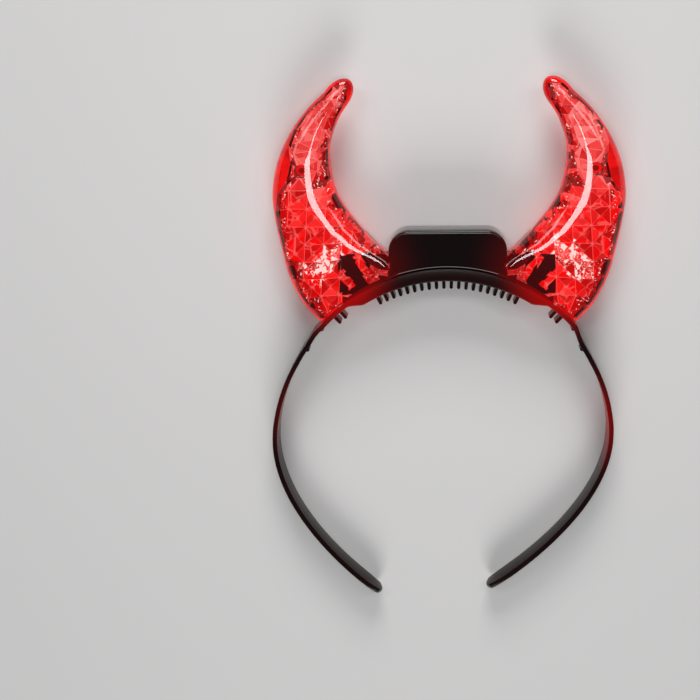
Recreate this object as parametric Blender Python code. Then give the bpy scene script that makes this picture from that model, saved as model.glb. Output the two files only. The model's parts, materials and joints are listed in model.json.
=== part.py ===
"""Light-up devil horns headband, lying on its back.

The shapes are drawn in the headband's own frame: x to the right, y up the head, z to the front, with the
origin at the hoop's centre, level with its widest part. At the end everything is leaned back until the
backs of the horns and the legs of the hoop touch the same floor.
"""
import math

import bmesh
import bpy
from mathutils import Matrix, Vector

MM = 0.001

# Clearances
GAP = 0.3 * MM  # between two pieces that touch on the real headband
ROOM_SINK = 1.2 * MM  # the rooms cut in the horns' feet run this far past them

# Hoop
HOOP_HALF_WIDTH = 68.4 * MM  # outer face, at the widest level
HOOP_RISE = 70.0 * MM  # from the widest level to the crown's top
SHOULDER_DRAW = 1.2 * MM  # the band runs this far inside the ellipse past the horns
LEG_DROP = 67.2 * MM  # from the widest level to the leg tips, as their mean
TIP_HALF_GAP = 22.8 * MM  # from the middle to a leg tip's outer face
TIP_TURN_DEG = 36.0  # a leg's end, above level
LEG_SWAY = 5.6 * MM  # the tips lie this far to the left of the middle
LEG_ROLL = 1.4 * MM  # the left tip lies this far below the mean, and the right tip above it
SWAY_AT_HORNS = 0.28  # this share of the sway comes just below the horns, the rest down the legs
LEG_FULLNESS = (0.33, 0.5)  # how far a leg bulges at its top and at its tip, in shares of LEG_DROP
BAND_THICK = 1.9 * MM
CROWN_DEPTH = 15.0 * MM  # front to back, over the crown
LEG_DEPTH = 10.4 * MM  # front to back, low on the legs
TIP_DEPTH = 5.0 * MM
TIP_LENGTH = 9.0 * MM  # over which a leg's end is rounded off
NARROWS_FROM_DEG = 50  # the band gets less deep from here on down
CROWN_NARROWING = 0.45  # the share of that which it has done at its widest level
LEG_THICKENING = 0.12  # a leg's tip is this share thicker than the band
BAND_ROUND = 0.45 * MM
RAIL_THICK = 4.9 * MM
RAIL_END_DEG = 31.4  # where the full rail ends, from the top
RAIL_RAMP_DEG = 36.2  # where it has thinned to the band

# Comb teeth and nubs
TOOTH_PITCH_DEG = 2.745
TEETH_UNDER_RAIL = 20
TEETH_SKIPPED = 4  # on each side, where the rail's end is
TEETH_BEYOND = 2
TOOTH_LENGTH = 3.8 * MM
TOOTH_WIDTH = 1.3 * MM
TOOTH_DEPTH = 6.0 * MM
NUB_RISE = 0.9 * MM
NUB_LENGTH = 1.6 * MM
NUB_SPACING_DEG = 8.2
FIRST_NUB_DEG = 48.5

# Battery housing
HOUSING_HALF_WIDTH = 23.0 * MM
HOUSING_RISE = 14.9 * MM  # its top above the crown
HOUSING_CORNER = 8.0 * MM
HOUSING_DEPTH = 14.5 * MM
HOUSING_WALL = 1.6 * MM
COVER_THICK = 2.6 * MM
COVER_ROUND = 0.8 * MM
SHOULDER_REACH = 41.0 * MM  # from the middle to the shoulder's outer end
SHOULDER_RISE = 4.9 * MM  # its top above the crown
SHOULDER_DEPTH = 9.6 * MM

# Lights
LED_RADIUS = 2.5 * MM
LED_FLANGE = 0.4 * MM
LED_LENGTH = 7.6 * MM
LED_RISE = 0.45  # up the shoulder's end face, as a share of its height

# Horns
HORN_HEIGHT = 72.8 * MM  # its tip above the crown
HORN_REACH = 68.6 * MM  # its outermost point from the middle
HORN_HALF_DEPTH = 9.1 * MM
HORN_WALL = 1.8 * MM
FACET_DEPTH = 1.3 * MM  # the pyramids stand this far into the hollow
FACET_ROWS = 13
FACET_COLUMNS = 5
SEAM = 0.3 * MM  # between the front and the back shell
PIN_RADIUS = 1.1 * MM
BOSS_WALL = 0.9 * MM
BOSS_LENGTH = 0.80  # from the seam into the shell's wall, as a share of HORN_HALF_DEPTH
PIN_REACH = 2.2 * MM  # past the seam

# Cross sections of a horn from its foot to its tip. Inner and outer are its two edges as the front shows
# them: x in shares of HORN_REACH, y above the crown in shares of HORN_HEIGHT. Depth is a share of
# HORN_HALF_DEPTH, box says how square the inner side is, and bow how much the section follows the rail.
HORN_SECTIONS = (
    # inner x, inner y, outer x, outer y, depth, box, bow
    (0.278, None, 0.738, None, 0.98, 14.0, 1.00),
    (0.326, 0.051, 0.838, -0.204, 0.99, 8.0, 0.62),
    (0.424, 0.146, 0.915, -0.054, 1.00, 4.0, 0.34),
    (0.507, 0.234, 0.953, 0.092, 1.00, 2.7, 0.15),
    (0.577, 0.320, 0.984, 0.237, 0.98, 2.4, 0.04),
    (0.630, 0.413, 1.000, 0.382, 0.94, 2.3, 0.00),
    (0.657, 0.526, 0.981, 0.519, 0.88, 2.2, 0.00),
    (0.665, 0.616, 0.937, 0.638, 0.80, 2.2, 0.00),
    (0.650, 0.698, 0.866, 0.756, 0.70, 2.1, 0.00),
    (0.607, 0.799, 0.780, 0.856, 0.58, 2.1, 0.00),
    (0.549, 0.880, 0.691, 0.933, 0.46, 2.0, 0.00),
)
HORN_TIP = (0.557, 1.0)  # the end of the tip, in the same shares
OUTER_BOX = 2.0
BOSS_AT = (0.821, 0.525)  # the ring boss, in the same shares

STEEPEST_LEAN_DEG = 6.0  # the lean that lays the headband on its back is looked for below this

# Mesh fineness
CROWN_STEPS = 40
LEG_STEPS = 16
ROWS_PER_SECTION = 2
CAP_ROWS = 4
DOME_COLUMNS = 16
FOOT_STEPS = 12
SHOULDER_STEPS = 6
CORNER_STEPS = 8
PEG_STEPS = 4
LED_SIDES = 14
BOSS_SIDES = 12
WELD_DISTANCE = 0.004 * MM


def clear_scene():
    for thing in list(bpy.data.objects):
        bpy.data.objects.remove(thing, do_unlink=True)


def material(name, colour, roughness, alpha=1.0):
    made = bpy.data.materials.new(name)
    made.use_nodes = True
    shader = made.node_tree.nodes["Principled BSDF"]
    shader.inputs["Base Color"].default_value = (*colour, 1.0)
    shader.inputs["Roughness"].default_value = roughness
    shader.inputs["Metallic"].default_value = 0.0
    shader.inputs["Alpha"].default_value = alpha
    return made


def as_object(name, bm, finish=None):
    """Closes a bmesh into a named object, with its faces turned outwards."""
    bmesh.ops.remove_doubles(bm, verts=bm.verts, dist=0.001 * MM)
    bmesh.ops.recalc_face_normals(bm, faces=bm.faces)
    mesh = bpy.data.meshes.new(name)
    bm.to_mesh(mesh)
    bm.free()
    made = bpy.data.objects.new(name, mesh)
    bpy.context.scene.collection.objects.link(made)
    if finish is None:
        made.hide_render = True
        made.display_type = "WIRE"
    else:
        mesh.materials.append(finish)
        mesh.shade_smooth()
        mesh.set_sharp_from_angle(angle=math.radians(30))
    return made


def boolean(target, operation, tool):
    step = target.modifiers.new(tool.name, "BOOLEAN")
    step.operation = operation
    step.solver = "EXACT"
    step.object = tool


def weld(target):
    """Merges the hair-thin slits that a chain of booleans can leave."""
    step = target.modifiers.new("weld", "WELD")
    step.merge_threshold = WELD_DISTANCE


def loft(bm, rings):
    """Joins closed rings of as many points each, and caps both ends."""
    rows = [[bm.verts.new(point) for point in ring] for ring in rings]
    for low, high in zip(rows, rows[1:]):
        for i in range(len(low)):
            j = (i + 1) % len(low)
            bm.faces.new((low[i], low[j], high[j], high[i]))
    bm.faces.new(rows[0])
    bm.faces.new(list(reversed(rows[-1])))


def extrude_outline(bm, outline, back, front):
    """A plate with the given outline in x and y, from z = back to z = front."""
    loft(bm, [[Vector((x, y, z)) for x, y in outline] for z in (back, front)])


def smooth_row(rows, position):
    """Reads a table of numbers between its rows, on one smooth curve through them."""
    last = len(rows) - 1
    index = min(int(position), last - 1)
    t = position - index
    before, here, after, beyond = (rows[max(0, min(last, index + k))] for k in (-1, 0, 1, 2))
    return [
        0.5 * (2 * b + (c - a) * t + (2 * a - 5 * b + 4 * c - d) * t * t + (3 * b - a - 3 * c + d) * t ** 3)
        for a, b, c, d in zip(before, here, after, beyond)
    ]


# Hoop: its outer line runs over the crown as half an ellipse and down each leg as one Bezier curve.
def crown_point(degrees):
    turn = math.radians(degrees)
    return Vector((HOOP_HALF_WIDTH * math.sin(turn), HOOP_RISE * math.cos(turn)))


def crown_normal(degrees):
    """Points into the hoop."""
    turn = math.radians(degrees)
    return -Vector((math.sin(turn) / HOOP_HALF_WIDTH, math.cos(turn) / HOOP_RISE)).normalized()


def crown_height(x):
    """The crown's top at this distance from the middle."""
    return HOOP_RISE * math.sqrt(1 - min(0.999, abs(x) / HOOP_HALF_WIDTH) ** 2)


def leg_curve():
    """The right leg's Bezier points, from the widest level to the tip."""
    at_top, at_tip = (LEG_DROP * fullness for fullness in LEG_FULLNESS)
    tip_turn = math.radians(TIP_TURN_DEG)
    tip = Vector((TIP_HALF_GAP, -LEG_DROP))
    start = Vector((HOOP_HALF_WIDTH, 0.0))
    upwards = Vector((math.cos(tip_turn), math.sin(tip_turn)))
    return start, start - Vector((0.0, at_top)), tip + at_tip * upwards, tip


def horn_foot_degrees():
    """The turn from the top at which a horn's foot ends."""
    return math.degrees(math.asin(min(1.0, HORN_REACH * HORN_SECTIONS[0][2] / HOOP_HALF_WIDTH)))


def sway(point, side):
    """Moves a point below the horns to the left, and rolls the legs, the more the further down it is."""
    foot = crown_point(horn_foot_degrees()).y
    share = max(0.0, (foot - point.y) / (foot + LEG_DROP))
    at_horns = 1 - math.exp(-share / 0.03)
    left = LEG_SWAY * (SWAY_AT_HORNS * at_horns + (1 - SWAY_AT_HORNS) * share ** 1.7)
    return Vector((side * point.x - left, point.y + side * LEG_ROLL * share))


def shoulder_draw(degrees):
    """How far the band runs inside the ellipse: most just past the horns, nothing at the widest level."""
    start = horn_foot_degrees()
    rise = max(0.0, min(1.0, (degrees - start) / 8))
    fall = max(0.0, min(1.0, (86 - degrees) / 24))
    return SHOULDER_DRAW * rise * rise * (3 - 2 * rise) * fall


def crown_thickness(degrees):
    turn = abs(degrees)
    share = (RAIL_RAMP_DEG - turn) / (RAIL_RAMP_DEG - RAIL_END_DEG)
    return BAND_THICK + (RAIL_THICK - BAND_THICK) * max(0.0, min(1.0, share))


def hoop_stations():
    """Yields outer point, inward normal, thickness and half depth along the hoop, left tip to right tip."""
    leg = []
    a, b, c, d = leg_curve()
    length = (d - c).length + (c - b).length
    for step in range(1, LEG_STEPS + 1):
        t = step / LEG_STEPS
        point = a * (1 - t) ** 3 + 3 * b * t * (1 - t) ** 2 + 3 * c * t * t * (1 - t) + d * t ** 3
        along = 3 * ((b - a) * (1 - t) ** 2 + 2 * (c - b) * t * (1 - t) + (d - c) * t * t)
        inward = Vector((along.y, -along.x)).normalized()
        end = min(1.0, (1 - t) * length / TIP_LENGTH)
        depth = TIP_DEPTH + (LEG_DEPTH - TIP_DEPTH) * math.sqrt(max(0.0, 1 - (1 - end) ** 2))
        widening = max(0.0, 1 - t / 0.6)
        depth += (CROWN_DEPTH - LEG_DEPTH) * (1 - CROWN_NARROWING) * widening
        leg.append((point, inward, BAND_THICK * (1 + LEG_THICKENING * t), depth / 2))
    turns = [-90 + 180 * step / CROWN_STEPS for step in range(CROWN_STEPS + 1)]
    changes = (RAIL_END_DEG, RAIL_RAMP_DEG, horn_foot_degrees())
    turns += [sign * turn for sign in (-1, 1) for turn in changes]
    crown = []
    for degrees in sorted(turns):
        taper = max(0.0, (abs(degrees) - NARROWS_FROM_DEG) / (90 - NARROWS_FROM_DEG))
        depth = CROWN_DEPTH - (CROWN_DEPTH - LEG_DEPTH) * CROWN_NARROWING * taper
        crown.append((degrees, depth / 2))
    for point, inward, thick, half in reversed(leg):
        yield sway(point, -1), Vector((-inward.x, inward.y)), thick, half
    for degrees, half in crown:
        inward = crown_normal(abs(degrees))
        point = crown_point(abs(degrees)) + inward * shoulder_draw(abs(degrees))
        side = -1 if degrees < 0 else 1
        yield sway(point, side), Vector((side * inward.x, inward.y)), crown_thickness(degrees), half
    for point, inward, thick, half in leg:
        yield sway(point, 1), inward, thick, half


def band_ring(point, inward, thick, half):
    """The band's cross section: a flat bar with its long edges rounded off."""
    r = BAND_ROUND
    corners = ((0, half - r), (r, half), (thick - r, half), (thick, half - r),
               (thick, r - half), (thick - r, -half), (r, -half), (0, r - half))
    return [Vector((*(point + inward * inwards), z)) for inwards, z in corners]


def tooth_turns():
    """The turn of each comb tooth from the top, and whether it stands under the rail."""
    for index in range(TEETH_UNDER_RAIL // 2 + TEETH_SKIPPED + TEETH_BEYOND):
        under_rail = index < TEETH_UNDER_RAIL // 2
        if under_rail or index >= TEETH_UNDER_RAIL // 2 + TEETH_SKIPPED:
            for side in (-1, 1):
                yield side * (index + 0.5) * TOOTH_PITCH_DEG


def standing_on_band(bm, degrees, rise, half_width, half_depth):
    """A peg with a rounded end that stands on the hoop's inner face, sunk into the band."""
    inward = crown_normal(degrees)
    drawn = crown_point(abs(degrees)) + crown_normal(abs(degrees)) * shoulder_draw(abs(degrees))
    root = sway(drawn, -1 if degrees < 0 else 1)
    across = Vector((-inward.y, inward.x))
    start = crown_thickness(degrees) - BAND_THICK / 2
    straight = crown_thickness(degrees) + rise - min(half_width, rise)
    outline = [root + inward * start + across * half_width]
    for step in range(PEG_STEPS + 1):
        turn = math.pi * step / PEG_STEPS
        reach = straight + min(half_width, rise) * math.sin(turn)
        outline.append(root + inward * reach + across * half_width * math.cos(turn))
    outline.append(root + inward * start - across * half_width)
    extrude_outline(bm, outline, -half_depth, half_depth)


def make_headband(finish):
    bm = bmesh.new()
    loft(bm, [band_ring(*station) for station in hoop_stations()])
    headband = as_object("headband", bm, finish)
    bm = bmesh.new()
    for degrees in tooth_turns():
        standing_on_band(bm, degrees, TOOTH_LENGTH, TOOTH_WIDTH / 2, TOOTH_DEPTH / 2)
    for index in range(2):
        for side in (-1, 1):
            turn = side * (FIRST_NUB_DEG + index * NUB_SPACING_DEG)
            standing_on_band(bm, turn, NUB_RISE, NUB_LENGTH / 2, TOOTH_DEPTH / 2)
    boolean(headband, "UNION", as_object("teeth and nubs", bm))
    return headband


# Housing
def rail_line(start, end, clearance, steps):
    """Points a clearance above the rail, from one x to another."""
    xs = [start + (end - start) * step / steps for step in range(steps + 1)]
    return [(x, crown_height(x) + clearance) for x in xs]


def block_outline(inset):
    """The housing's front outline: round top corners, and a foot that follows the rail."""
    half = HOUSING_HALF_WIDTH - inset
    top = HOOP_RISE + HOUSING_RISE - inset
    corner = HOUSING_CORNER - inset
    outline = rail_line(-half, half, GAP + inset, FOOT_STEPS)
    for side, first in ((1, 0), (-1, 90)):
        for step in range(CORNER_STEPS + 1):
            turn = math.radians(first + 90 * step / CORNER_STEPS)
            x = side * (half - corner) + corner * math.cos(turn)
            outline.append((x, top - corner + corner * math.sin(turn)))
    return outline


def shoulder_outline(side, inset, root):
    """A shoulder's front outline, from inside the block to its outer end."""
    start, end = side * (HOUSING_HALF_WIDTH - root), side * (SHOULDER_REACH - inset)
    top = HOOP_RISE + SHOULDER_RISE - inset
    return rail_line(start, end, GAP + inset, SHOULDER_STEPS) + [(end, top), (start, top)]


def seam_height():
    """Where the cover meets the tub."""
    return HOUSING_DEPTH / 2 - COVER_THICK - GAP / 2


def make_housing(finish):
    bm = bmesh.new()
    extrude_outline(bm, block_outline(0.0), -HOUSING_DEPTH / 2, seam_height() - GAP / 2)
    back = as_object("housing_back", bm, finish)
    for side in (-1, 1):
        bm = bmesh.new()
        half = SHOULDER_DEPTH / 2
        extrude_outline(bm, shoulder_outline(side, 0.0, HOUSING_WALL / 2), -half, half - GAP)
        boolean(back, "UNION", as_object("shoulder", bm))
    bm = bmesh.new()
    extrude_outline(bm, block_outline(HOUSING_WALL), HOUSING_WALL - HOUSING_DEPTH / 2, HOUSING_DEPTH)
    boolean(back, "DIFFERENCE", as_object("battery room", bm))
    for side in (-1, 1):
        bm = bmesh.new()
        half = SHOULDER_DEPTH / 2 - HOUSING_WALL
        extrude_outline(bm, shoulder_outline(side, HOUSING_WALL, HOUSING_WALL * 1.5), -half, half - GAP)
        boolean(back, "DIFFERENCE", as_object("wire channel", bm))
    bm = bmesh.new()
    front = HOUSING_DEPTH / 2
    edge = COVER_ROUND
    seam = seam_height() + GAP / 2
    plate = [(seam, 0.0), (front - edge, 0.0), (front - edge * 0.3, edge * 0.3), (front, edge)]
    loft(bm, [[Vector((x, y, z)) for x, y in block_outline(inset)] for z, inset in plate])
    cover = as_object("housing_front", bm, finish)
    return [back, cover]


def make_led(name, side, finish):
    """A domed light that lies on its side, with its flange against the shoulder's end."""
    foot = crown_height(SHOULDER_REACH) + GAP
    height = foot + (HOOP_RISE + SHOULDER_RISE - foot) * LED_RISE
    flange = LED_RADIUS + LED_FLANGE
    profile = [(flange, 0.0), (flange, 2 * LED_FLANGE), (LED_RADIUS, 2 * LED_FLANGE)]
    for turn in (math.radians(degrees) for degrees in (0, 25, 50, 72)):
        profile.append((LED_RADIUS * math.cos(turn), LED_LENGTH + LED_RADIUS * (math.sin(turn) - 1)))
    turns = [2 * math.pi * k / LED_SIDES for k in range(LED_SIDES)]
    rings = []
    for radius, along in profile:
        x = side * (SHOULDER_REACH + GAP + along)
        rings.append([Vector((x, height + radius * math.cos(t), radius * math.sin(t))) for t in turns])
    bm = bmesh.new()
    loft(bm, rings)
    return as_object(name, bm, finish)


# Horns
def horn_rows():
    """The section table in metres, with the foot's two ends set on the rail."""
    rows = []
    for in_x, in_y, out_x, out_y, depth, box, bow in HORN_SECTIONS:
        in_x, out_x = in_x * HORN_REACH, out_x * HORN_REACH
        in_y = crown_height(in_x) + GAP if in_y is None else HOOP_RISE + in_y * HORN_HEIGHT
        out_y = crown_height(out_x) + GAP if out_y is None else HOOP_RISE + out_y * HORN_HEIGHT
        rows.append((in_x, in_y, out_x, out_y, depth * HORN_HALF_DEPTH, box, bow))
    return rows


def foot_bow(across):
    """How far the rail bows above a straight foot, at -1 for the inner to 1 for the outer end."""
    in_x, in_y, out_x, out_y = horn_rows()[0][:4]
    share = (across + 1) / 2
    x = in_x + (out_x - in_x) * share
    return crown_height(x) + GAP - (in_y + (out_y - in_y) * share)


def dome_point(row, turn, inset):
    """A point on a section's front half. turn runs from 0 at the outer edge to pi at the inner edge."""
    in_x, in_y, out_x, out_y, depth, box, bow = row
    power = box if turn > math.pi / 2 else OUTER_BOX
    reach = (abs(math.cos(turn)) ** power + abs(math.sin(turn)) ** power) ** (-1 / power)
    across = math.cos(turn) * reach
    up = math.sin(turn) * reach
    half = Vector((out_x - in_x, out_y - in_y)) / 2
    middle = Vector((out_x + in_x, out_y + in_y)) / 2
    narrowed = half * max(0.05, 1 - inset / half.length)
    flat = middle + narrowed * across
    return Vector((flat.x, flat.y + bow * foot_bow(across), max(0.3 * MM, depth - inset) * up))


def horn_grid(columns, positions, inset, cap_rows):
    """Rows of points over the front half of a horn, closed by a rounded tip."""
    table = horn_rows()
    turns = [math.pi * column / columns for column in range(columns + 1)]
    rows = [smooth_row(table, position) for position in positions]
    grid = [[dome_point(row, turn, inset) for turn in turns] for row in rows]
    last = rows[-1]
    middle = Vector(((last[0] + last[2]) / 2, (last[1] + last[3]) / 2))
    tip = Vector((HORN_TIP[0] * HORN_REACH, HOOP_RISE + HORN_TIP[1] * HORN_HEIGHT))
    cap = tip - middle
    reach = cap.normalized() * (cap.length - inset)
    for step in range(1, cap_rows):
        turn = math.pi / 2 * step / cap_rows
        centre = middle + reach * math.sin(turn)
        shrink = math.cos(turn)
        ring = []
        for point in grid[len(rows) - 1]:
            flat = centre + (point.xy - middle) * shrink
            ring.append(Vector((flat.x, flat.y, point.z * shrink)))
        grid.append(ring)
    return grid, middle + reach


def close_dome(bm, grid, apex, floor):
    """Turns a grid over half a horn into a solid: the dome, its foot, and a flat face at z = floor."""
    rows = [[bm.verts.new(point) for point in row] for row in grid]
    for row in rows:
        row[0].co.z = row[-1].co.z = floor
    top = bm.verts.new((apex.x, apex.y, floor))
    for low, high in zip(rows, rows[1:]):
        for i in range(len(low) - 1):
            bm.faces.new((low[i], low[i + 1], high[i + 1], high[i]))
    for i in range(len(rows[-1]) - 1):
        bm.faces.new((rows[-1][i], rows[-1][i + 1], top))
    foot = [rows[0][0]] + [bm.verts.new((*vert.co.xy, floor)) for vert in rows[0][1:-1]] + [rows[0][-1]]
    for i in range(len(foot) - 1):
        corners = (rows[0][i], foot[i], foot[i + 1], rows[0][i + 1])
        bm.faces.new(list(dict.fromkeys(corners)))
    bm.faces.new(foot + [rows[1][-1], rows[1][0]])
    for low, high in zip(rows[1:], rows[2:]):
        bm.faces.new((low[0], high[0], high[-1], low[-1]))
    bm.faces.new((rows[-1][0], top, rows[-1][-1]))
    return rows


def mirrored(bm, side, front):
    """Turns the right horn's front half into any of the four."""
    for vert in bm.verts:
        vert.co.x *= side
        vert.co.z *= 1 if front else -1


def section_positions(count):
    last = len(HORN_SECTIONS) - 1
    return [last * step / count for step in range(count + 1)]


def horn_solid(side, front, finish, name):
    bm = bmesh.new()
    count = (len(HORN_SECTIONS) - 1) * ROWS_PER_SECTION
    grid, apex = horn_grid(DOME_COLUMNS, section_positions(count), 0.0, CAP_ROWS)
    for row in grid:
        for point in row:
            point.z = max(point.z, SEAM / 2)
    close_dome(bm, grid, apex, SEAM / 2)
    mirrored(bm, side, front)
    return as_object(name, bm, finish)


def horn_hollow(side, front):
    """The room inside a half shell, with one pyramid of the wall standing into it in each cell."""
    bm = bmesh.new()
    grid, apex = horn_grid(FACET_COLUMNS, section_positions(FACET_ROWS), HORN_WALL, 2)
    # One more row under the foot leaves the shell open there
    below = [Vector((p.x, p.y - 3 * HORN_WALL, p.z)) for p in grid[0]]
    rows = close_dome(bm, [below] + grid, apex, -HORN_WALL)
    bm.verts.ensure_lookup_table()
    cells = []
    for low, high in zip(rows[1:], rows[2:]):
        for i in range(1, len(low) - 2):
            cells.append((low[i], low[i + 1], high[i + 1], high[i]))
    faces = {frozenset(face.verts): face for face in bm.faces}
    bmesh.ops.recalc_face_normals(bm, faces=bm.faces)
    for corners in cells:
        face = faces[frozenset(corners)]
        peak = face.calc_center_median() - face.normal * FACET_DEPTH
        bmesh.ops.poke(bm, faces=[face])["verts"][0].co = peak
    mirrored(bm, side, front)
    return as_object("hollow", bm)


def column_solid(centre, radius, low, high):
    bm = bmesh.new()
    turns = [2 * math.pi * k / BOSS_SIDES for k in range(BOSS_SIDES)]
    outline = [(centre.x + radius * math.cos(t), centre.y + radius * math.sin(t)) for t in turns]
    extrude_outline(bm, outline, low, high)
    return as_object("column", bm)


def block_room():
    """The housing's block with a clearance all round and open at its foot, which the horns are cut to fit."""
    bm = bmesh.new()
    half = HOUSING_DEPTH / 2 + GAP
    outline = [(x, y - (ROOM_SINK if y < HOOP_RISE + GAP else 0.0)) for x, y in block_outline(-GAP)]
    extrude_outline(bm, outline, -half, half)
    return as_object("block room", bm)


def shoulder_room(side):
    bm = bmesh.new()
    half = SHOULDER_DEPTH / 2 + GAP
    start, end = side * (HOUSING_HALF_WIDTH - HOUSING_WALL), side * (SHOULDER_REACH + GAP)
    top = HOOP_RISE + SHOULDER_RISE + GAP
    outline = rail_line(start, end, -ROOM_SINK, SHOULDER_STEPS) + [(end, top), (start, top)]
    extrude_outline(bm, outline, -half, half)
    return as_object("shoulder room", bm)


def make_horn(name, side, finish, rooms):
    """The two half shells of a horn. The rooms for the housing are cut last, through the finished shells."""
    shells = []
    boss = Vector((side * BOSS_AT[0] * HORN_REACH, HOOP_RISE + BOSS_AT[1] * HORN_HEIGHT))
    socket = PIN_RADIUS + GAP
    buried = HORN_HALF_DEPTH * BOSS_LENGTH
    for front in (True, False):
        shell = horn_solid(side, front, finish, f"{name}_{'front' if front else 'back'}")
        boolean(shell, "DIFFERENCE", horn_hollow(side, front))
        if front:
            boolean(shell, "UNION", column_solid(boss, socket + BOSS_WALL, SEAM / 2, buried))
            boolean(shell, "DIFFERENCE", column_solid(boss, socket, -SEAM, PIN_REACH + GAP))
        else:
            boolean(shell, "UNION", column_solid(boss, socket + BOSS_WALL, -SEAM / 2, -buried))
            boolean(shell, "UNION", column_solid(boss, PIN_RADIUS, -SEAM, PIN_REACH))
        for room in rooms:
            boolean(shell, "DIFFERENCE", room)
        weld(shell)
        shells.append(shell)
    return shells


def rest_on_back(pieces):
    """Leans the headband until horns and legs touch the floor, and centres it over the origin."""
    bpy.context.view_layer.update()
    graph = bpy.context.evaluated_depsgraph_get()
    points = [vert.co.copy() for piece in pieces for vert in piece.evaluated_get(graph).data.vertices]
    high = [p for p in points if p.y > HOOP_RISE]
    low = [p for p in points if p.y < 0]
    flat, steep = 0.0, math.radians(STEEPEST_LEAN_DEG)
    for _ in range(30):
        lean = (flat + steep) / 2
        drop = [min(p.z * math.cos(lean) + p.y * math.sin(lean) for p in side) for side in (high, low)]
        if drop[0] < drop[1]:
            flat = lean
        else:
            steep = lean
    turn = Matrix.Rotation(lean, 4, "X")
    turned = [turn @ p for p in points]
    lows = [min(p[axis] for p in turned) for axis in range(3)]
    highs = [max(p[axis] for p in turned) for axis in range(3)]
    centre = Vector(((lows[0] + highs[0]) / 2, (lows[1] + highs[1]) / 2, lows[2]))
    rest = bpy.data.objects.new("rest", None)
    bpy.context.scene.collection.objects.link(rest)
    rest.matrix_world = Matrix.Translation(-centre) @ turn
    for thing in bpy.data.objects:
        if thing is not rest:
            thing.parent = rest


def main():
    clear_scene()
    hoop_black = material("satin black plastic", (0.016, 0.011, 0.012), 0.32)
    housing_black = material("gloss black plastic", (0.006, 0.005, 0.006), 0.12)
    horn_red = material("clear red plastic", (0.85, 0.02, 0.02), 0.05, alpha=0.55)
    led_clear = material("lit lens", (1.0, 0.25, 0.2), 0.2)
    pieces = [make_headband(hoop_black)]
    pieces += make_housing(housing_black)
    block = block_room()
    for name, side in (("left", -1), ("right", 1)):
        pieces += make_horn(f"horn_{name}", side, horn_red, (block, shoulder_room(side)))
        pieces.append(make_led(f"led_{name}", side, led_clear))
    rest_on_back(pieces)


main()
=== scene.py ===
# %% [markdown]
# # A light-up devil horns headband
# A black plastic hoop carries a battery housing and two hollow horns of clear red plastic. Each horn is
# two half shells, polished outside and cut into facets inside, with a light shining up into it.
#
# The solids of the headband are loaded first and stay where they are. Everything below is a finer piece
# that takes the place of one of them, drawn from the same sizes. We keep the box of the solids, because
# the finished pieces have to stay inside it.

# %% Load the solids
import json
import math
import random
from functools import partial

import bmesh
import bpy
from mathutils import Matrix, Vector, geometry


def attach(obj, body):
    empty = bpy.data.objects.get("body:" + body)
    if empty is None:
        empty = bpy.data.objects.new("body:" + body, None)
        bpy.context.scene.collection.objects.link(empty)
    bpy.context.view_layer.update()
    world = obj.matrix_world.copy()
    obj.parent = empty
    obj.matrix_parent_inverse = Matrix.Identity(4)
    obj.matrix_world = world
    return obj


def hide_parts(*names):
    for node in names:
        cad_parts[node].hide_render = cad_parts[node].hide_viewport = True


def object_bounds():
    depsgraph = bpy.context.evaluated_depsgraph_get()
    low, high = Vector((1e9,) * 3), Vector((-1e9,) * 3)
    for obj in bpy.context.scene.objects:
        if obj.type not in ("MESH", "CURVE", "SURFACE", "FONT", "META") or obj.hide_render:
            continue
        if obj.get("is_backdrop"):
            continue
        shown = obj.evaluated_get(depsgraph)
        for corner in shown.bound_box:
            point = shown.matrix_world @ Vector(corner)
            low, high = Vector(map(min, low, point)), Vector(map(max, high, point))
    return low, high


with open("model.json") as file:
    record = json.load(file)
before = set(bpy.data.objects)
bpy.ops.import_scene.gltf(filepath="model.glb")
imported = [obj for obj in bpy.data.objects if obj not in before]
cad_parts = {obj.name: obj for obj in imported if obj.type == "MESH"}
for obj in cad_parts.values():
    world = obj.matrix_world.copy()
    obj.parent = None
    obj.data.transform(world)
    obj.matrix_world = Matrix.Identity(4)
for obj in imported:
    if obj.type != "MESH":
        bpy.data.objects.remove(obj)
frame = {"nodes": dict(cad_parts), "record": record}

MM = 0.001
solid_box = [list(corner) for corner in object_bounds()]
print("solids:", sorted(frame["nodes"]))

# %% [markdown]
# The headband lies on its back, leaned a little. It is much easier to draw upright, as it is worn: x to
# the right, y up the head, z out of its front, with the origin at the hoop's centre. The record says
# where the flat back of the housing is and which way it faces. We know where that face is when the
# headband is worn, so those two facts give the matrix that lays a worn shape down.

# %% From worn to lying
HOOP_RISE = 70.0 * MM
HOUSING_RISE = 14.9 * MM
HOUSING_DEPTH = 14.5 * MM
BACK_FACE_HEIGHT = HOOP_RISE + 7.5 * MM

back_face = frame["record"]["mounts"][0]
lean = math.atan2(back_face["axis"][1], -back_face["axis"][2])
worn = Matrix.Rotation(lean, 4, "X")
worn.translation = Vector(back_face["pos_m"]) - worn @ Vector((0, BACK_FACE_HEIGHT, -HOUSING_DEPTH / 2))
print(f"leans back by {math.degrees(lean):.2f} degrees")

# %% [markdown]
# ## The camera
# The photograph looks at the front from a little above the horns. We turn the camera about the point of
# the headband that sits at a known place in the picture: first its distance and height, then the small
# turns that bring that point off the centre of the frame. A turn keeps the picture as sharp and as
# honest as a real camera's, where a lens shift would not.

# %% Place the camera
PICTURE = 700
FOCAL_PX = 1375.0
DISTANCE = 550.0 * MM
CAMERA_RISE_DEG = 13.5
AIM = Vector((0.0, 40.7 * MM, 0.0))
AIM_PX = (447.6, 338.0)
SENSOR_MM = 36.0


def new_object(name, data):
    """Puts a mesh, a light or a camera into the scene as an object."""
    made = bpy.data.objects.new(name, data)
    bpy.context.scene.collection.objects.link(made)
    return made


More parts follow.
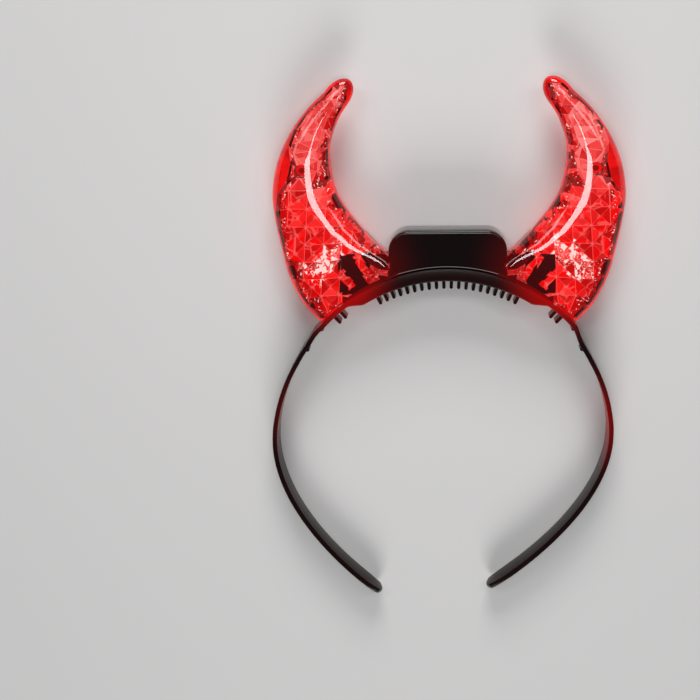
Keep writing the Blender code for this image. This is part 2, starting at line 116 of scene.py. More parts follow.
pitch = math.atan((PICTURE / 2 - AIM_PX[1]) / FOCAL_PX)
yaw = math.atan((AIM_PX[0] - PICTURE / 2) / math.hypot(FOCAL_PX, PICTURE / 2 - AIM_PX[1]))
rise = math.radians(CAMERA_RISE_DEG)
level = Vector((0, -math.sin(rise + pitch), -math.cos(rise + pitch)))
up = Vector((0, math.cos(rise + pitch), -math.sin(rise + pitch)))
side = Vector((1, 0, 0))
ahead = level * math.cos(yaw) - side * math.sin(yaw)
right = side * math.cos(yaw) + level * math.sin(yaw)
pose = Matrix((right, up, -ahead)).transposed().to_4x4()
pose.translation = AIM + DISTANCE * Vector((0, math.sin(rise), math.cos(rise)))

camera = new_object("camera", bpy.data.cameras.new("camera"))
camera.matrix_world = worn @ pose
camera.data.sensor_width = SENSOR_MM
camera.data.lens = SENSOR_MM * FOCAL_PX / PICTURE
camera.data.clip_start = 10 * MM
bpy.context.scene.camera = camera
print(f"lens {camera.data.lens:.1f} mm, {camera.location.z * 1000:.0f} mm above the floor")

# %% [markdown]
# ## Floor and light
# A pale floor and five soft boxes. A clear horn shows a box as a bright line on its curved skin, so the
# boxes are placed by the lines that they draw: a small one hangs over the housing between the horns, and
# a wide one stands beyond each tip. Light from the tips' side runs along the inner side of each horn low
# down and crosses to the outer side higher up, because the horn curls over. That is the long streak in
# the picture. Two large boxes further off, on the near and the far side, light the floor and the rims.
# The standard view keeps the red as pure as it is: a filmic one would turn bright red towards orange.

# %% Floor, lights and view
FLOOR_HALF = 1.6
FLOOR_COLOUR = (0.74, 0.73, 0.72)
FLOOR_ROUGHNESS = 0.7
AIR_COLOUR = (0.9, 0.92, 1.0, 1)
AIR_STRENGTH = 0.1
SOFT_BOXES = (
    # name, place, what it looks at, width and height, watts
    ("middle box", (0.0, 0.068, 0.40), (0, 0.068, 0), (0.100, 0.052), 0.22),
    ("near box", (0.0, -1.3, 0.7), (0, 0, 0), (0.8, 0.6), 11.5),
    ("far box", (0.0, 1.3, 0.6), (0, 0, 0), (0.7, 0.5), 12.5),
    ("left box", (-0.50, 0.51, 1.0), (-0.50, 0.30, 0), (0.60, 0.18), 1.6),
    ("right box", (0.50, 0.51, 1.0), (0.50, 0.30, 0), (0.60, 0.18), 1.6),
)


def give(tree, socket, value):
    """Sets a socket to a value, or joins it to an output. A node stands for its first output."""
    if isinstance(value, bpy.types.Node):
        value = value.outputs[0]
    if isinstance(value, bpy.types.NodeSocket):
        tree.links.new(value, socket)
    else:
        socket.default_value = value


def dress(material, **values):
    """Gives values to a material's shader. Its sockets go by name, with _ for a space."""
    tree = material.node_tree
    for name, value in values.items():
        give(tree, tree.nodes["Principled BSDF"].inputs[name.replace("_", " ")], value)


def new_material(name, colour, roughness, **values):
    made = bpy.data.materials.new(name)
    made.use_nodes = True
    dress(made, Base_Color=(*colour, 1.0), Roughness=roughness, **values)
    return made


def make_floor():
    mesh = bpy.data.meshes.new("floor")
    corners = [(x * FLOOR_HALF, y * FLOOR_HALF, 0.0) for x, y in ((-1, -1), (1, -1), (1, 1), (-1, 1))]
    mesh.from_pydata(corners, [], [(0, 1, 2, 3)])
    mesh.materials.append(new_material("pale floor", FLOOR_COLOUR, FLOOR_ROUGHNESS))
    made = new_object("floor", mesh)
    made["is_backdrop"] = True


def soft_box(name, place, target, size, watts):
    data = bpy.data.lights.new(name, "AREA")
    data.shape = "RECTANGLE"
    data.size, data.size_y = size
    data.energy = watts
    made = new_object(name, data)
    made.location = place
    made.rotation_euler = (Vector(target) - Vector(place)).to_track_quat("-Z", "Y").to_euler()


make_floor()
for box in SOFT_BOXES:
    soft_box(*box)
world = bpy.data.worlds.new("studio")
world.use_nodes = True
air = world.node_tree.nodes["Background"].inputs
air["Color"].default_value = AIR_COLOUR
air["Strength"].default_value = AIR_STRENGTH
bpy.context.scene.world = world
bpy.context.scene.view_settings.view_transform = "Standard"

# %% [markdown]
# ## Small helpers
# Every piece is made in the worn frame, most of them as a bmesh, and then laid down. Laying it down moves
# the points and not the object, so that the object stays at the origin and a pattern in its material
# stays put.

# %% Helpers for meshes
WELD = 0.002 * MM
SHARP_DEG = 35


def close_up(bm, weld):
    """Closes seams and turns the faces outwards. Returns how many edges stay open."""
    bmesh.ops.remove_doubles(bm, verts=bm.verts, dist=weld)
    bmesh.ops.dissolve_degenerate(bm, edges=bm.edges, dist=weld)
    bmesh.ops.recalc_face_normals(bm, faces=bm.faces)
    if bm.calc_volume(signed=True) < 0:
        bmesh.ops.reverse_faces(bm, faces=bm.faces)
    return sum(1 for side in bm.edges if len(side.link_faces) != 2)


def smooth(mesh, sharp_deg=SHARP_DEG):
    mesh.shade_smooth()
    mesh.set_sharp_from_angle(angle=math.radians(sharp_deg))


def piece_from(name, bm, *finishes, laid=True):
    """Turns a bmesh in the worn frame into an object, with closed seams and faces that point outwards."""
    left_open = close_up(bm, WELD)
    if left_open:
        print(f"{name}: {left_open} open edges")
    mesh = bpy.data.meshes.new(name)
    bm.to_mesh(mesh)
    bm.free()
    if laid:
        mesh.transform(worn)
    for finish in finishes:
        mesh.materials.append(finish)
    smooth(mesh)
    return new_object(name, mesh)


def loft(bm, rings):
    """Joins closed rings of as many points each, and caps both ends."""
    rows = [[bm.verts.new(point) for point in ring] for ring in rings]
    for low, high in zip(rows, rows[1:]):
        for i in range(len(low)):
            j = (i + 1) % len(low)
            bm.faces.new((low[i], low[j], high[j], high[i]))
    bm.faces.new(rows[0])
    bm.faces.new(list(reversed(rows[-1])))


print("ready to close, smooth and loft meshes")

# %% [markdown]
# Building node trees by hand is wordy. With `add` one call makes a node, sets its inputs and joins what it
# is given, and the short functions after it name the few nodes that we need over and over.

# %% Helpers for nodes
def add(tree, kind, inputs=None, **settings):
    """Adds a node. inputs maps a socket's name or number to what it is given."""
    node = tree.nodes.new(kind)
    for name, value in settings.items():
        setattr(node, name, value)
    for key, value in (inputs or {}).items():
        give(tree, node.inputs[key], value)
    return node


def math_node(tree, operation, *values):
    return add(tree, "ShaderNodeMath", dict(enumerate(values)), operation=operation).outputs[0]


def vector_node(tree, operation, *values):
    made = add(tree, "ShaderNodeVectorMath", dict(enumerate(values)), operation=operation)
    return made.outputs["Value" if operation == "DISTANCE" else "Vector"]


def blend_node(tree, share, first, second):
    """Mixes two colours."""
    made = add(tree, "ShaderNodeMix", data_type="RGBA")
    sockets = [s for s in made.inputs if s.enabled]
    for socket, value in zip(sockets, (share, first, second)):
        give(tree, socket, (*value, 1.0) if isinstance(value, tuple) else value)
    return next(s for s in made.outputs if s.enabled)


def ramp(tree, value, low, high):
    """0 below low, 1 above high, and smooth between them."""
    made = add(tree, "ShaderNodeMapRange", {"Value": value, "From Min": low, "From Max": high})
    made.interpolation_type = "SMOOTHSTEP"
    return made.outputs["Result"]


def split(tree, vector):
    return add(tree, "ShaderNodeSeparateXYZ", {"Vector": vector}).outputs


def texture(tree, kind, place, scale, **inputs):
    return add(tree, "ShaderNodeTex" + kind, {"Vector": place, "Scale": scale, **inputs})


print("ready to build node trees")

# %% [markdown]
# ## Black plastics
# The hoop is satin, the housing polished. Real black plastic is never one flat value: the mould leaves a
# fine grain, and flow and fingers change the gloss a little. Near the horns a red glow is painted into it,
# standing in for the horns' red light falling on it. The same short function makes both, from noise on
# object coordinates: a warped noise for the flow, a fine one for the grain, and the distance to the nearer
# light for the painted red glow. The comb teeth stand behind the rail, in its shade, so they get a black of
# their own with less of the painted glow.

# %% Black plastic
def from_middle(tree):
    """Object coordinates with both halves folded onto the right one, so one pattern serves both horns."""
    place = add(tree, "ShaderNodeTexCoord").outputs["Object"]
    moved = vector_node(tree, "SUBTRACT", place, (worn.translation.x, 0.0, 0.0))
    return place, vector_node(tree, "ABSOLUTE", moved)


def spot(x, y, z=0.0):
    """A place in the worn frame, in millimetres, as the folded coordinates give it."""
    laid = worn @ (Vector((x, y, z)) * MM)
    return (laid.x - worn.translation.x, laid.y, laid.z)


LIGHT_AT = spot(45.0, 67.0)  # in a lens, near its top
# The red that black plastic shows near a light is a painted glow, full within this distance and fading by
# this power
LIT_TO = 4 * MM  # as near as this to a light, the plastic shows all of its red
LIT_FALL = 1.6
FLOW_SCALE = 38.0
GRAIN_SCALE = 1900.0
GRAIN_HEIGHT = 0.02 * MM
GLOSS_SPREAD = (0.75, 1.3)
TONE_SPREAD = (0.7, 1.5)
SATIN = {"base": (0.009, 0.002, 0.002), "roughness": 0.24, "grain": 0.25, "reach": 32 * MM, "shine": 0.15}
POLISHED = {"base": (0.003, 0.001, 0.001), "roughness": 0.08, "grain": 0.04, "reach": 44 * MM, "shine": 0.4}


def black_plastic(name, catch, base, roughness, grain, reach, shine):
    """Paints so much red glow close to a light, and none further off than reach."""
    made = new_material(name, base, roughness, Specular_IOR_Level=shine, Emission_Strength=1.0)
    tree = made.node_tree
    place, folded = from_middle(tree)
    flow = texture(tree, "Noise", place, FLOW_SCALE, Detail=4.0, Distortion=0.6)
    fine = texture(tree, "Noise", place, GRAIN_SCALE, Detail=2.0)
    low, high = (roughness * share for share in GLOSS_SPREAD)
    dark, light = (tuple(c * share for c in base) for share in TONE_SPREAD)
    # A painted red glow in the emission stands in for the horns' light, fading away from the nearer light
    away = vector_node(tree, "DISTANCE", folded, LIGHT_AT)
    lit = math_node(tree, "POWER", ramp(tree, away, reach, LIT_TO), LIT_FALL)
    dress(made, Roughness=add(tree, "ShaderNodeMapRange", {"Value": flow, "To Min": low, "To Max": high}),
          Base_Color=blend_node(tree, flow, dark, light),
          Normal=add(tree, "ShaderNodeBump", {"Height": fine, "Strength": grain, "Distance": GRAIN_HEIGHT}),
          Emission_Color=blend_node(tree, lit, (0.0, 0.0, 0.0), (catch, 0.0, 0.0)))
    return made


# The number is the strength of the painted red glow; the comb gets less, as it lies in shade behind the rail
hoop_black = black_plastic("hoop black", 0.60, **SATIN)
comb_black = black_plastic("comb black", 0.10, **SATIN)
housing_black = black_plastic("housing black", 0.17, **POLISHED)
print("made", hoop_black.name, "and", housing_black.name)

# %% [markdown]
# ## The hoop
# A flat band, bent into a crown and sprung inwards down the legs, with a thicker rail over the top that
# holds the housing. A curve with a bevel cannot change its thickness and its depth on their own, so we
# loft the band ourselves: half an ellipse for the crown, one Bezier curve for each leg, and at each
# station a ring of points with rounded edges. The legs are not quite alike in the picture: they are
# swung a little to the left, and we do the same.

# %% The hoop's line
HOOP_HALF_WIDTH = 68.4 * MM
SHOULDER_DRAW = 1.2 * MM
LEG_DROP = 67.2 * MM
TIP_HALF_GAP = 22.8 * MM
TIP_TURN_DEG = 36.0
LEG_SWAY = 5.6 * MM
LEG_ROLL = 1.4 * MM
SWAY_AT_HORNS = 0.28
SWAY_SETTLES = 0.03
SWAY_CURVE = 1.7
DRAW_IN_DEG = 8  # the band is drawn in over this turn, past the horns
DRAW_OUT_DEG = 24  # and comes out again over this one
DRAW_END_DEG = 86
LEG_FULLNESS = (0.33, 0.5)
HORN_FOOT_OUTER = 50.63 * MM  # where a horn's foot ends on the rail, from the middle
HORN_FOOT_DEG = math.degrees(math.asin(HORN_FOOT_OUTER / HOOP_HALF_WIDTH))


def crown_point(degrees):
    turn = math.radians(degrees)
    return Vector((HOOP_HALF_WIDTH * math.sin(turn), HOOP_RISE * math.cos(turn)))


def crown_normal(degrees):
    """Points into the hoop."""
    turn = math.radians(degrees)
    return -Vector((math.sin(turn) / HOOP_HALF_WIDTH, math.cos(turn) / HOOP_RISE)).normalized()


def crown_height(x):
    return HOOP_RISE * math.sqrt(1 - min(0.999, abs(x) / HOOP_HALF_WIDTH) ** 2)


def leg_point(t):
    """A point of the right leg's Bezier curve, and the normal into the hoop."""
    tip_turn = math.radians(TIP_TURN_DEG)
    a = Vector((HOOP_HALF_WIDTH, 0.0))
    b = a - Vector((0.0, LEG_DROP * LEG_FULLNESS[0]))
    d = Vector((TIP_HALF_GAP, -LEG_DROP))
    c = d + LEG_DROP * LEG_FULLNESS[1] * Vector((math.cos(tip_turn), math.sin(tip_turn)))
    point = a * (1 - t) ** 3 + 3 * b * t * (1 - t) ** 2 + 3 * c * t * t * (1 - t) + d * t ** 3
    along = (b - a) * (1 - t) ** 2 + 2 * (c - b) * t * (1 - t) + (d - c) * t * t
    return point, Vector((along.y, -along.x)).normalized()


def sway(point, side):
    foot = crown_point(HORN_FOOT_DEG).y
    share = max(0.0, (foot - point.y) / (foot + LEG_DROP))
    at_horns = 1 - math.exp(-share / SWAY_SETTLES)
    left = LEG_SWAY * (SWAY_AT_HORNS * at_horns + (1 - SWAY_AT_HORNS) * share ** SWAY_CURVE)
    return Vector((side * point.x - left, point.y + side * LEG_ROLL * share))


def shoulder_draw(degrees):
    """How far the band runs inside the ellipse just past the horns."""
    rise = max(0.0, min(1.0, (degrees - HORN_FOOT_DEG) / DRAW_IN_DEG))
    fall = max(0.0, min(1.0, (DRAW_END_DEG - degrees) / DRAW_OUT_DEG))
    return SHOULDER_DRAW * rise * rise * (3 - 2 * rise) * fall


def on_crown(degrees):
    """The outer point of the band at a signed turn from the top, and the normal into the hoop."""
    turn = abs(degrees)
    side = -1 if degrees < 0 else 1
    inward = crown_normal(turn)
    point = sway(crown_point(turn) + inward * shoulder_draw(turn), side)
    return point, Vector((side * inward.x, inward.y))


print(f"a horn's foot ends {HORN_FOOT_DEG:.1f} degrees from the top")

# %% [markdown]
# The line above says where the band runs. It has no one size: it is deep over the crown, where the comb
# is, narrower down the legs and narrowest at their tips, and between the horns the rail makes it thicker.

# %% The band's thickness and depth
BAND_THICK = 1.9 * MM
CROWN_DEPTH = 15.0 * MM
LEG_DEPTH = 10.4 * MM
TIP_DEPTH = 5.0 * MM
TIP_LENGTH = 9.0 * MM
BAND_ROUND = 0.5 * MM
ROUND_SHARE = 0.45  # or this share of the thickness, where that is less
RAIL_THICK = 4.9 * MM
RAIL_END_DEG = 31.4
RAIL_RAMP_DEG = 36.2
NARROWS_FROM_DEG = 50
CROWN_NARROWING = 0.45
LEG_THICKENING = 0.12
LEG_STRETCH = 1.17  # a leg's curve is this much longer than its drop
DEPTH_SETTLES = 0.6  # at this share of a leg
TIP_BLUNT = 0.3
TIP_BLUNT_OVER = 0.4  # of the band's thickness
EASE = 0.04 * MM  # smooth surfaces bulge past the solids' flat faces by less than this
CROWN_STEPS = 180
LEG_STEPS = 80
EDGE_STEPS = 4


def crown_thickness(degrees):
    share = max(0.0, min(1.0, (RAIL_RAMP_DEG - abs(degrees)) / (RAIL_RAMP_DEG - RAIL_END_DEG)))
    return BAND_THICK + (RAIL_THICK - BAND_THICK) * share


def band_ring(point, inward, thick, half):
    """The band's cross section, with four rounded edges."""
    r = min(BAND_ROUND, thick * ROUND_SHARE)
    ring = []
    corners = ((thick - r, half - r, 0), (r, half - r, 90), (r, r - half, 180), (thick - r, r - half, 270))
    for inwards, z, first in corners:
        for step in range(EDGE_STEPS + 1):
            turn = math.radians(first + 90 * step / EDGE_STEPS)
            flat = point + inward * max(EASE, inwards + r * math.cos(turn))
            ring.append(Vector((*flat, z + r * math.sin(turn))))
    return ring


def leg_rings(side):
    rings = []
    for step in range(1, LEG_STEPS + 1):
        t = step / LEG_STEPS
        point, inward = leg_point(t)
        to_end = (1 - t) * LEG_DROP * LEG_STRETCH
        end = min(1.0, to_end / TIP_LENGTH)
        depth = TIP_DEPTH + (LEG_DEPTH - TIP_DEPTH) * math.sqrt(max(0.0, 1 - (1 - end) ** 2))
        depth += (CROWN_DEPTH - LEG_DEPTH) * (1 - CROWN_NARROWING) * max(0.0, 1 - t / DEPTH_SETTLES)
        thick = BAND_THICK * (1 + LEG_THICKENING * t)
        inward = Vector((side * inward.x, inward.y))
        blunt = TIP_BLUNT * max(0.0, 1 - to_end / (TIP_BLUNT_OVER * BAND_THICK)) ** 2
        start = sway(point, side) + inward * thick * blunt / 2
        rings.append(band_ring(start, inward, thick * (1 - blunt), depth / 2 * (1 - blunt)))
    return rings


def crown_rings():
    rings = []
    for step in range(CROWN_STEPS + 1):
        degrees = -90 + 180 * step / CROWN_STEPS
        taper = max(0.0, (abs(degrees) - NARROWS_FROM_DEG) / (90 - NARROWS_FROM_DEG))
        depth = CROWN_DEPTH - (CROWN_DEPTH - LEG_DEPTH) * CROWN_NARROWING * taper
        point, inward = on_crown(degrees)
        rings.append(band_ring(point, inward, crown_thickness(degrees), depth / 2))
    return rings


bm = bmesh.new()
loft(bm, list(reversed(leg_rings(-1))) + crown_rings() + leg_rings(1))
hoop = piece_from("hoop", bm, hoop_black)
print(f"hoop: {len(hoop.data.polygons)} faces")

# %% [markdown]
# ## Node trees
# Two node trees follow, one for the comb teeth and one for the facets. They start and end alike and are
# run alike, so that is written once. An object gets the tree as a modifier for a moment: the inputs are set
# by their identifiers, the result is copied into a plain mesh, and the modifier goes again.

# %% Start, end and run a node tree
def new_tree(name, **inputs):
    """A tree with geometry in and out and these named inputs. Returns it and what it is given."""
    tree = bpy.data.node_groups.new(name, "GeometryNodeTree")
    tree.interface.new_socket("Geometry", in_out="OUTPUT", socket_type="NodeSocketGeometry")
    for socket, kind in {"Geometry": "Geometry", **inputs}.items():
        tree.interface.new_socket(socket, in_out="INPUT", socket_type="NodeSocket" + kind)
    return tree, tree.nodes.new("NodeGroupInput").outputs


def end_tree(tree, shape, finish):
    """Makes copies real, gives them their finish and hands them out."""
    real = add(tree, "GeometryNodeRealizeInstances", {"Geometry": shape})
    finished = add(tree, "GeometryNodeSetMaterial", {"Geometry": real, "Material": finish})
    add(tree, "NodeGroupOutput", {0: finished})
    return tree


def run_tree(thing, tree, values, name):
    """Gives an object a node tree with these inputs, and returns its result as a new plain object."""
    step = thing.modifiers.new(tree.name, "NODES")
    step.node_group = tree
    sockets = {s.name: s.identifier for s in tree.interface.items_tree if s.in_out == "INPUT"}
    for key, value in values.items():
        step[sockets[key]] = value
    bpy.context.view_layer.update()
    evaluated = thing.evaluated_get(bpy.context.evaluated_depsgraph_get())
    mesh = bpy.data.meshes.new_from_object(evaluated)
    mesh.name = name
    thing.modifiers.remove(step)
    bpy.data.objects.remove(thing)
    return new_object(name, mesh)


print("ready to run node trees")

# %% [markdown]
# ## Comb teeth
# Twenty short teeth stand under the rail and two more past each end of it, with two low nubs further on.
# They all have one shape and one rule, which is what Geometry Nodes are for. We give the tree bare
# points, each with the direction it looks in, and it draws one rounded tooth, stands a copy on every
# point and makes the copies real. The same tree, with other sizes, makes the nubs.

# %% A tree that stands pegs on points
TOOTH_PITCH_DEG = 2.745
TEETH_UNDER_RAIL = 10
TEETH_SKIPPED = 4
TEETH_BEYOND = 2
TOOTH_LENGTH = 3.8 * MM
TOOTH_WIDTH = 1.3 * MM
TOOTH_DEPTH = 6.0 * MM
NUB_RISE = 0.9 * MM
NUB_LENGTH = 1.6 * MM
NUB_SPACING_DEG = 8.2
FIRST_NUB_DEG = 48.5
CORNER_SHARE = 0.46  # a peg's corner radius as a share of its width
CORNER_POINTS = 6
PEG_WELD = 0.01 * MM


def peg_tree():
    """Inputs: points with a 'looks' vector. Each gets a peg with a rounded end, its depth along z."""
    sizes = dict.fromkeys(("Length", "Width", "Depth", "Root"), "Float")
    tree, given = new_tree("pegs", **sizes, Finish="Material")
    total = math_node(tree, "ADD", given["Length"], given["Root"])
    width, depth = given["Width"], given["Depth"]
    outline = add(tree, "GeometryNodeCurvePrimitiveQuadrilateral", {"Width": width, "Height": total})
    corner = math_node(tree, "MULTIPLY", width, CORNER_SHARE)
    round_off = add(tree, "GeometryNodeFilletCurve", mode="POLY", inputs={
        "Curve": outline, "Radius": corner, "Count": CORNER_POINTS, "Limit Radius": True})
    plate = add(tree, "GeometryNodeFillCurve", {"Curve": round_off}, mode="NGONS")
    body = {"Mesh": plate, "Offset Scale": depth, "Individual": False}
    both = tree.nodes.new("GeometryNodeJoinGeometry")
    give(tree, both.inputs[0], add(tree, "GeometryNodeFlipFaces", {"Mesh": plate}))
    give(tree, both.inputs[0], add(tree, "GeometryNodeExtrudeMesh", body))
    welded = add(tree, "GeometryNodeMergeByDistance", {"Geometry": both, "Distance": PEG_WELD})
    reach = math_node(tree, "SUBTRACT", math_node(tree, "MULTIPLY", total, 0.5), given["Root"])
    sink = math_node(tree, "MULTIPLY", depth, -0.5)
    shift = add(tree, "ShaderNodeCombineXYZ", {"Y": reach, "Z": sink})
    placed = add(tree, "GeometryNodeTransform", {"Geometry": welded, "Translation": shift})
    looks = add(tree, "GeometryNodeInputNamedAttribute", {"Name": "looks"}, data_type="FLOAT_VECTOR")
    turned = add(tree, "FunctionNodeAxesToRotation", primary_axis="Z", secondary_axis="Y",
                 inputs={"Primary Axis": (0, 0, 1), "Secondary Axis": looks})
    copies = add(tree, "GeometryNodeInstanceOnPoints",
                 {"Points": given["Geometry"], "Instance": placed, "Rotation": turned})
    return end_tree(tree, copies, given["Finish"])


def pegs(name, turns, tree, **values):
    """Pegs on the hoop's inner face at these turns from the top."""
    mesh = bpy.data.meshes.new(name + " points")
    spots = []
    for degrees in turns:
        point, inward = on_crown(degrees)
        spots.append((point + inward * crown_thickness(degrees), inward))
    mesh.from_pydata([(*point, 0.0) for point, inward in spots], [], [])
    looks = mesh.attributes.new("looks", "FLOAT_VECTOR", "POINT")
    for index, (point, inward) in enumerate(spots):
        looks.data[index].vector = (*inward, 0.0)
    values.update(Depth=TOOTH_DEPTH, Root=BAND_THICK / 2)
    made = run_tree(new_object(name + " points", mesh), tree, values, name)
    made.data.transform(worn)
    smooth(made.data)
    return made


teeth_at = [i + 0.5 for i in range(TEETH_UNDER_RAIL)]
teeth_at += [TEETH_UNDER_RAIL + TEETH_SKIPPED + i + 0.5 for i in range(TEETH_BEYOND)]
tooth_turns = [side * steps * TOOTH_PITCH_DEG for side in (-1, 1) for steps in teeth_at]
nub_turns = [side * (FIRST_NUB_DEG + i * NUB_SPACING_DEG) for side in (-1, 1) for i in range(2)]
peg = peg_tree()
comb = pegs("comb_teeth", tooth_turns, peg, Length=TOOTH_LENGTH, Width=TOOTH_WIDTH, Finish=comb_black)
nubs = pegs("grip_nubs", nub_turns, peg, Length=NUB_RISE, Width=NUB_LENGTH, Finish=hoop_black)
print(f"{len(tooth_turns)} teeth, {len(nub_turns)} nubs")

# %% [markdown]
# ## The battery housing
# A tub with round top corners whose foot follows the rail, and a polished cover on its front. Both are
# one outline lofted through a few heights, each inset a little more at the rim, which rounds the edges.
# Rounded edges matter more than anything else on a black glossy part: they catch the light and draw the
# bright line along the top. The tub also reaches into each horn with a shoulder that carries the light.

# %% Housing outline
GAP = 0.3 * MM
HOUSING_HALF_WIDTH = 23.0 * MM
HOUSING_CORNER = 8.0 * MM
COVER_THICK = 2.6 * MM
COVER_ROUND = 1.0 * MM
TUB_ROUND = 1.2 * MM
FLAT_RING = 0.3 * MM
SEAM_BEVEL = 0.25 * MM
SHOULDER_REACH = 41.0 * MM
SHOULDER_RISE = 4.9 * MM
SHOULDER_DEPTH = 9.6 * MM
SHOULDER_ROOT = 0.8 * MM  # a shoulder starts this far inside the tub
SHOULDER_CHAMFER = 1.0 * MM
SHOULDER_STEPS = 12
FOOT_STEPS = 40
CORNER_STEPS = 16
RIM_STEPS = 5


def over_crown(start, end, steps, lift):
    """Points at even steps along the hoop's outer face, lifted off it."""
    xs = [start + (end - start) * step / steps for step in range(steps + 1)]
    return [(x, crown_height(x) + lift) for x in xs]


def block_outline(inset):
    half = HOUSING_HALF_WIDTH - inset
    top = HOOP_RISE + HOUSING_RISE - inset
    corner = HOUSING_CORNER - inset
    outline = over_crown(-half, half, FOOT_STEPS, GAP + inset)
    for side, first in ((1, 0), (-1, 90)):
        for step in range(CORNER_STEPS + 1):
            turn = math.radians(first + 90 * step / CORNER_STEPS)
            x = side * (half - corner) + corner * math.cos(turn)
            outline.append((x, top - corner + corner * math.sin(turn)))
    return outline


def rounded_rim(level, outwards, radius):
    """Heights and insets that round off a rim. outwards is the side of the rim that is open, -1 or 1."""
    turns = [math.radians(90 * step / RIM_STEPS) for step in range(RIM_STEPS + 1)]
    return [(level - outwards * radius * (1 - math.sin(t)), radius * (1 - math.cos(t))) for t in turns]


def outline_loft(bm, levels):
    """Lofts the outline through the levels. One more ring inside each end keeps its flat face flat."""
    (first, first_inset), (last, last_inset) = levels[0], levels[-1]
    levels = [(first, first_inset + FLAT_RING)] + levels + [(last, last_inset + FLAT_RING)]
    loft(bm, [[(x, y, z) for x, y in block_outline(inset)] for z, inset in levels])


print(f"the housing's outline has {len(block_outline(0.0))} points")

# %% [markdown]
# The tub and the cover meet at a seam with a small bevel on both sides, which shows as a fine dark line.
# Each shoulder of the tub is a plain block that follows the rail below and has one chamfered corner.

# %% Tub and cover
seam = HOUSING_DEPTH / 2 - COVER_THICK - GAP / 2
front = HOUSING_DEPTH / 2
bm = bmesh.new()
low_edge = rounded_rim(-front, -1, TUB_ROUND)[::-1]
outline_loft(bm, low_edge + [(seam - GAP / 2 - SEAM_BEVEL, 0.0), (seam - GAP / 2, SEAM_BEVEL)])
for side in (-1, 1):
    start = side * (HOUSING_HALF_WIDTH - SHOULDER_ROOT)
    end = side * SHOULDER_REACH
    top = HOOP_RISE + SHOULDER_RISE
    half = SHOULDER_DEPTH / 2
    outline = over_crown(start, end, SHOULDER_STEPS, GAP)
    outline += [(end, top - SHOULDER_CHAMFER), (end - side * SHOULDER_CHAMFER, top), (start, top)]
    loft(bm, [[(x, y, z) for x, y in outline] for z in (-half, half - GAP)])
tub = piece_from("housing_tub", bm, housing_black)

bm = bmesh.new()
high_edge = rounded_rim(front, 1, COVER_ROUND)
outline_loft(bm, [(seam + GAP / 2, SEAM_BEVEL), (seam + GAP / 2 + SEAM_BEVEL, 0.0)] + high_edge)
cover = piece_from("housing_cover", bm, housing_black)
print(f"tub {len(tub.data.polygons)} faces, cover {len(cover.data.polygons)} faces")

# %% [markdown]
# ## The horn's outer surface
# A moulded horn is described well by a few cross sections and a smooth curve through them. Each row of
# the table gives the two edges of a section as they show from the front, its depth, and how square its
# inner side is. The foot follows the rail, so the lowest rows bow with it.

# %% Sections of the horn
HORN_HEIGHT = 72.8 * MM
HORN_REACH = 68.6 * MM
HORN_HALF_DEPTH = 9.1 * MM
HORN_WALL = 1.8 * MM
SEAM = 0.3 * MM

HORN_SECTIONS = (
    # inner x, inner y, outer x, outer y, depth, box, bow
    (0.278, None, 0.738, None, 0.98, 14.0, 1.00),
    (0.326, 0.051, 0.838, -0.204, 0.99, 8.0, 0.62),
    (0.424, 0.146, 0.915, -0.054, 1.00, 4.0, 0.34),
    (0.507, 0.234, 0.953, 0.092, 1.00, 2.7, 0.15),
    (0.577, 0.320, 0.984, 0.237, 0.98, 2.4, 0.04),
    (0.630, 0.413, 1.000, 0.382, 0.94, 2.3, 0.00),
    (0.657, 0.526, 0.981, 0.519, 0.88, 2.2, 0.00),
    (0.665, 0.616, 0.937, 0.638, 0.80, 2.2, 0.00),
    (0.650, 0.698, 0.866, 0.756, 0.70, 2.1, 0.00),
    (0.607, 0.799, 0.780, 0.856, 0.58, 2.1, 0.00),
    (0.549, 0.880, 0.691, 0.933, 0.46, 2.0, 0.00),
)


def horn_rows():
    """The table in metres, with the foot's two ends set on the rail."""
    rows = []
    for in_x, in_y, out_x, out_y, depth, box, bow in HORN_SECTIONS:
        in_x, out_x = in_x * HORN_REACH, out_x * HORN_REACH
        in_y = crown_height(in_x) + GAP if in_y is None else HOOP_RISE + in_y * HORN_HEIGHT
        out_y = crown_height(out_x) + GAP if out_y is None else HOOP_RISE + out_y * HORN_HEIGHT
        rows.append((in_x, in_y, out_x, out_y, depth * HORN_HALF_DEPTH, box, bow))
    return rows


TABLE = horn_rows()
print(f"{len(TABLE)} sections up the horn")

# %% [markdown]
# We read the table between its rows and walk half way round each section, from the outer edge over the
# front to the inner edge. That is the front half of a horn, the dome. Above the last section its rows
# shrink towards the tip and close it with a round end.

# %% Half a horn
OUTER_BOX = 2.0
HORN_TIP = (0.557, 1.0)
DOME_ROWS = 110
DOME_COLUMNS = 56
CAP_ROWS = 9


def smooth_row(position):
    """Reads the table between its rows, on one smooth curve through them."""
    last = len(TABLE) - 1
    index = min(int(position), last - 1)
    t = position - index
    before, here, after, beyond = (TABLE[max(0, min(last, index + k))] for k in (-1, 0, 1, 2))
    return [
        0.5 * (2 * b + (c - a) * t + (2 * a - 5 * b + 4 * c - d) * t * t + (3 * b - a - 3 * c + d) * t ** 3)
        for a, b, c, d in zip(before, here, after, beyond)
    ]


def foot_bow(across):
    """How far the rail bows above a straight foot."""
    in_x, in_y, out_x, out_y = TABLE[0][:4]
    share = (across + 1) / 2
    x = in_x + (out_x - in_x) * share
    return crown_height(x) + GAP - (in_y + (out_y - in_y) * share)


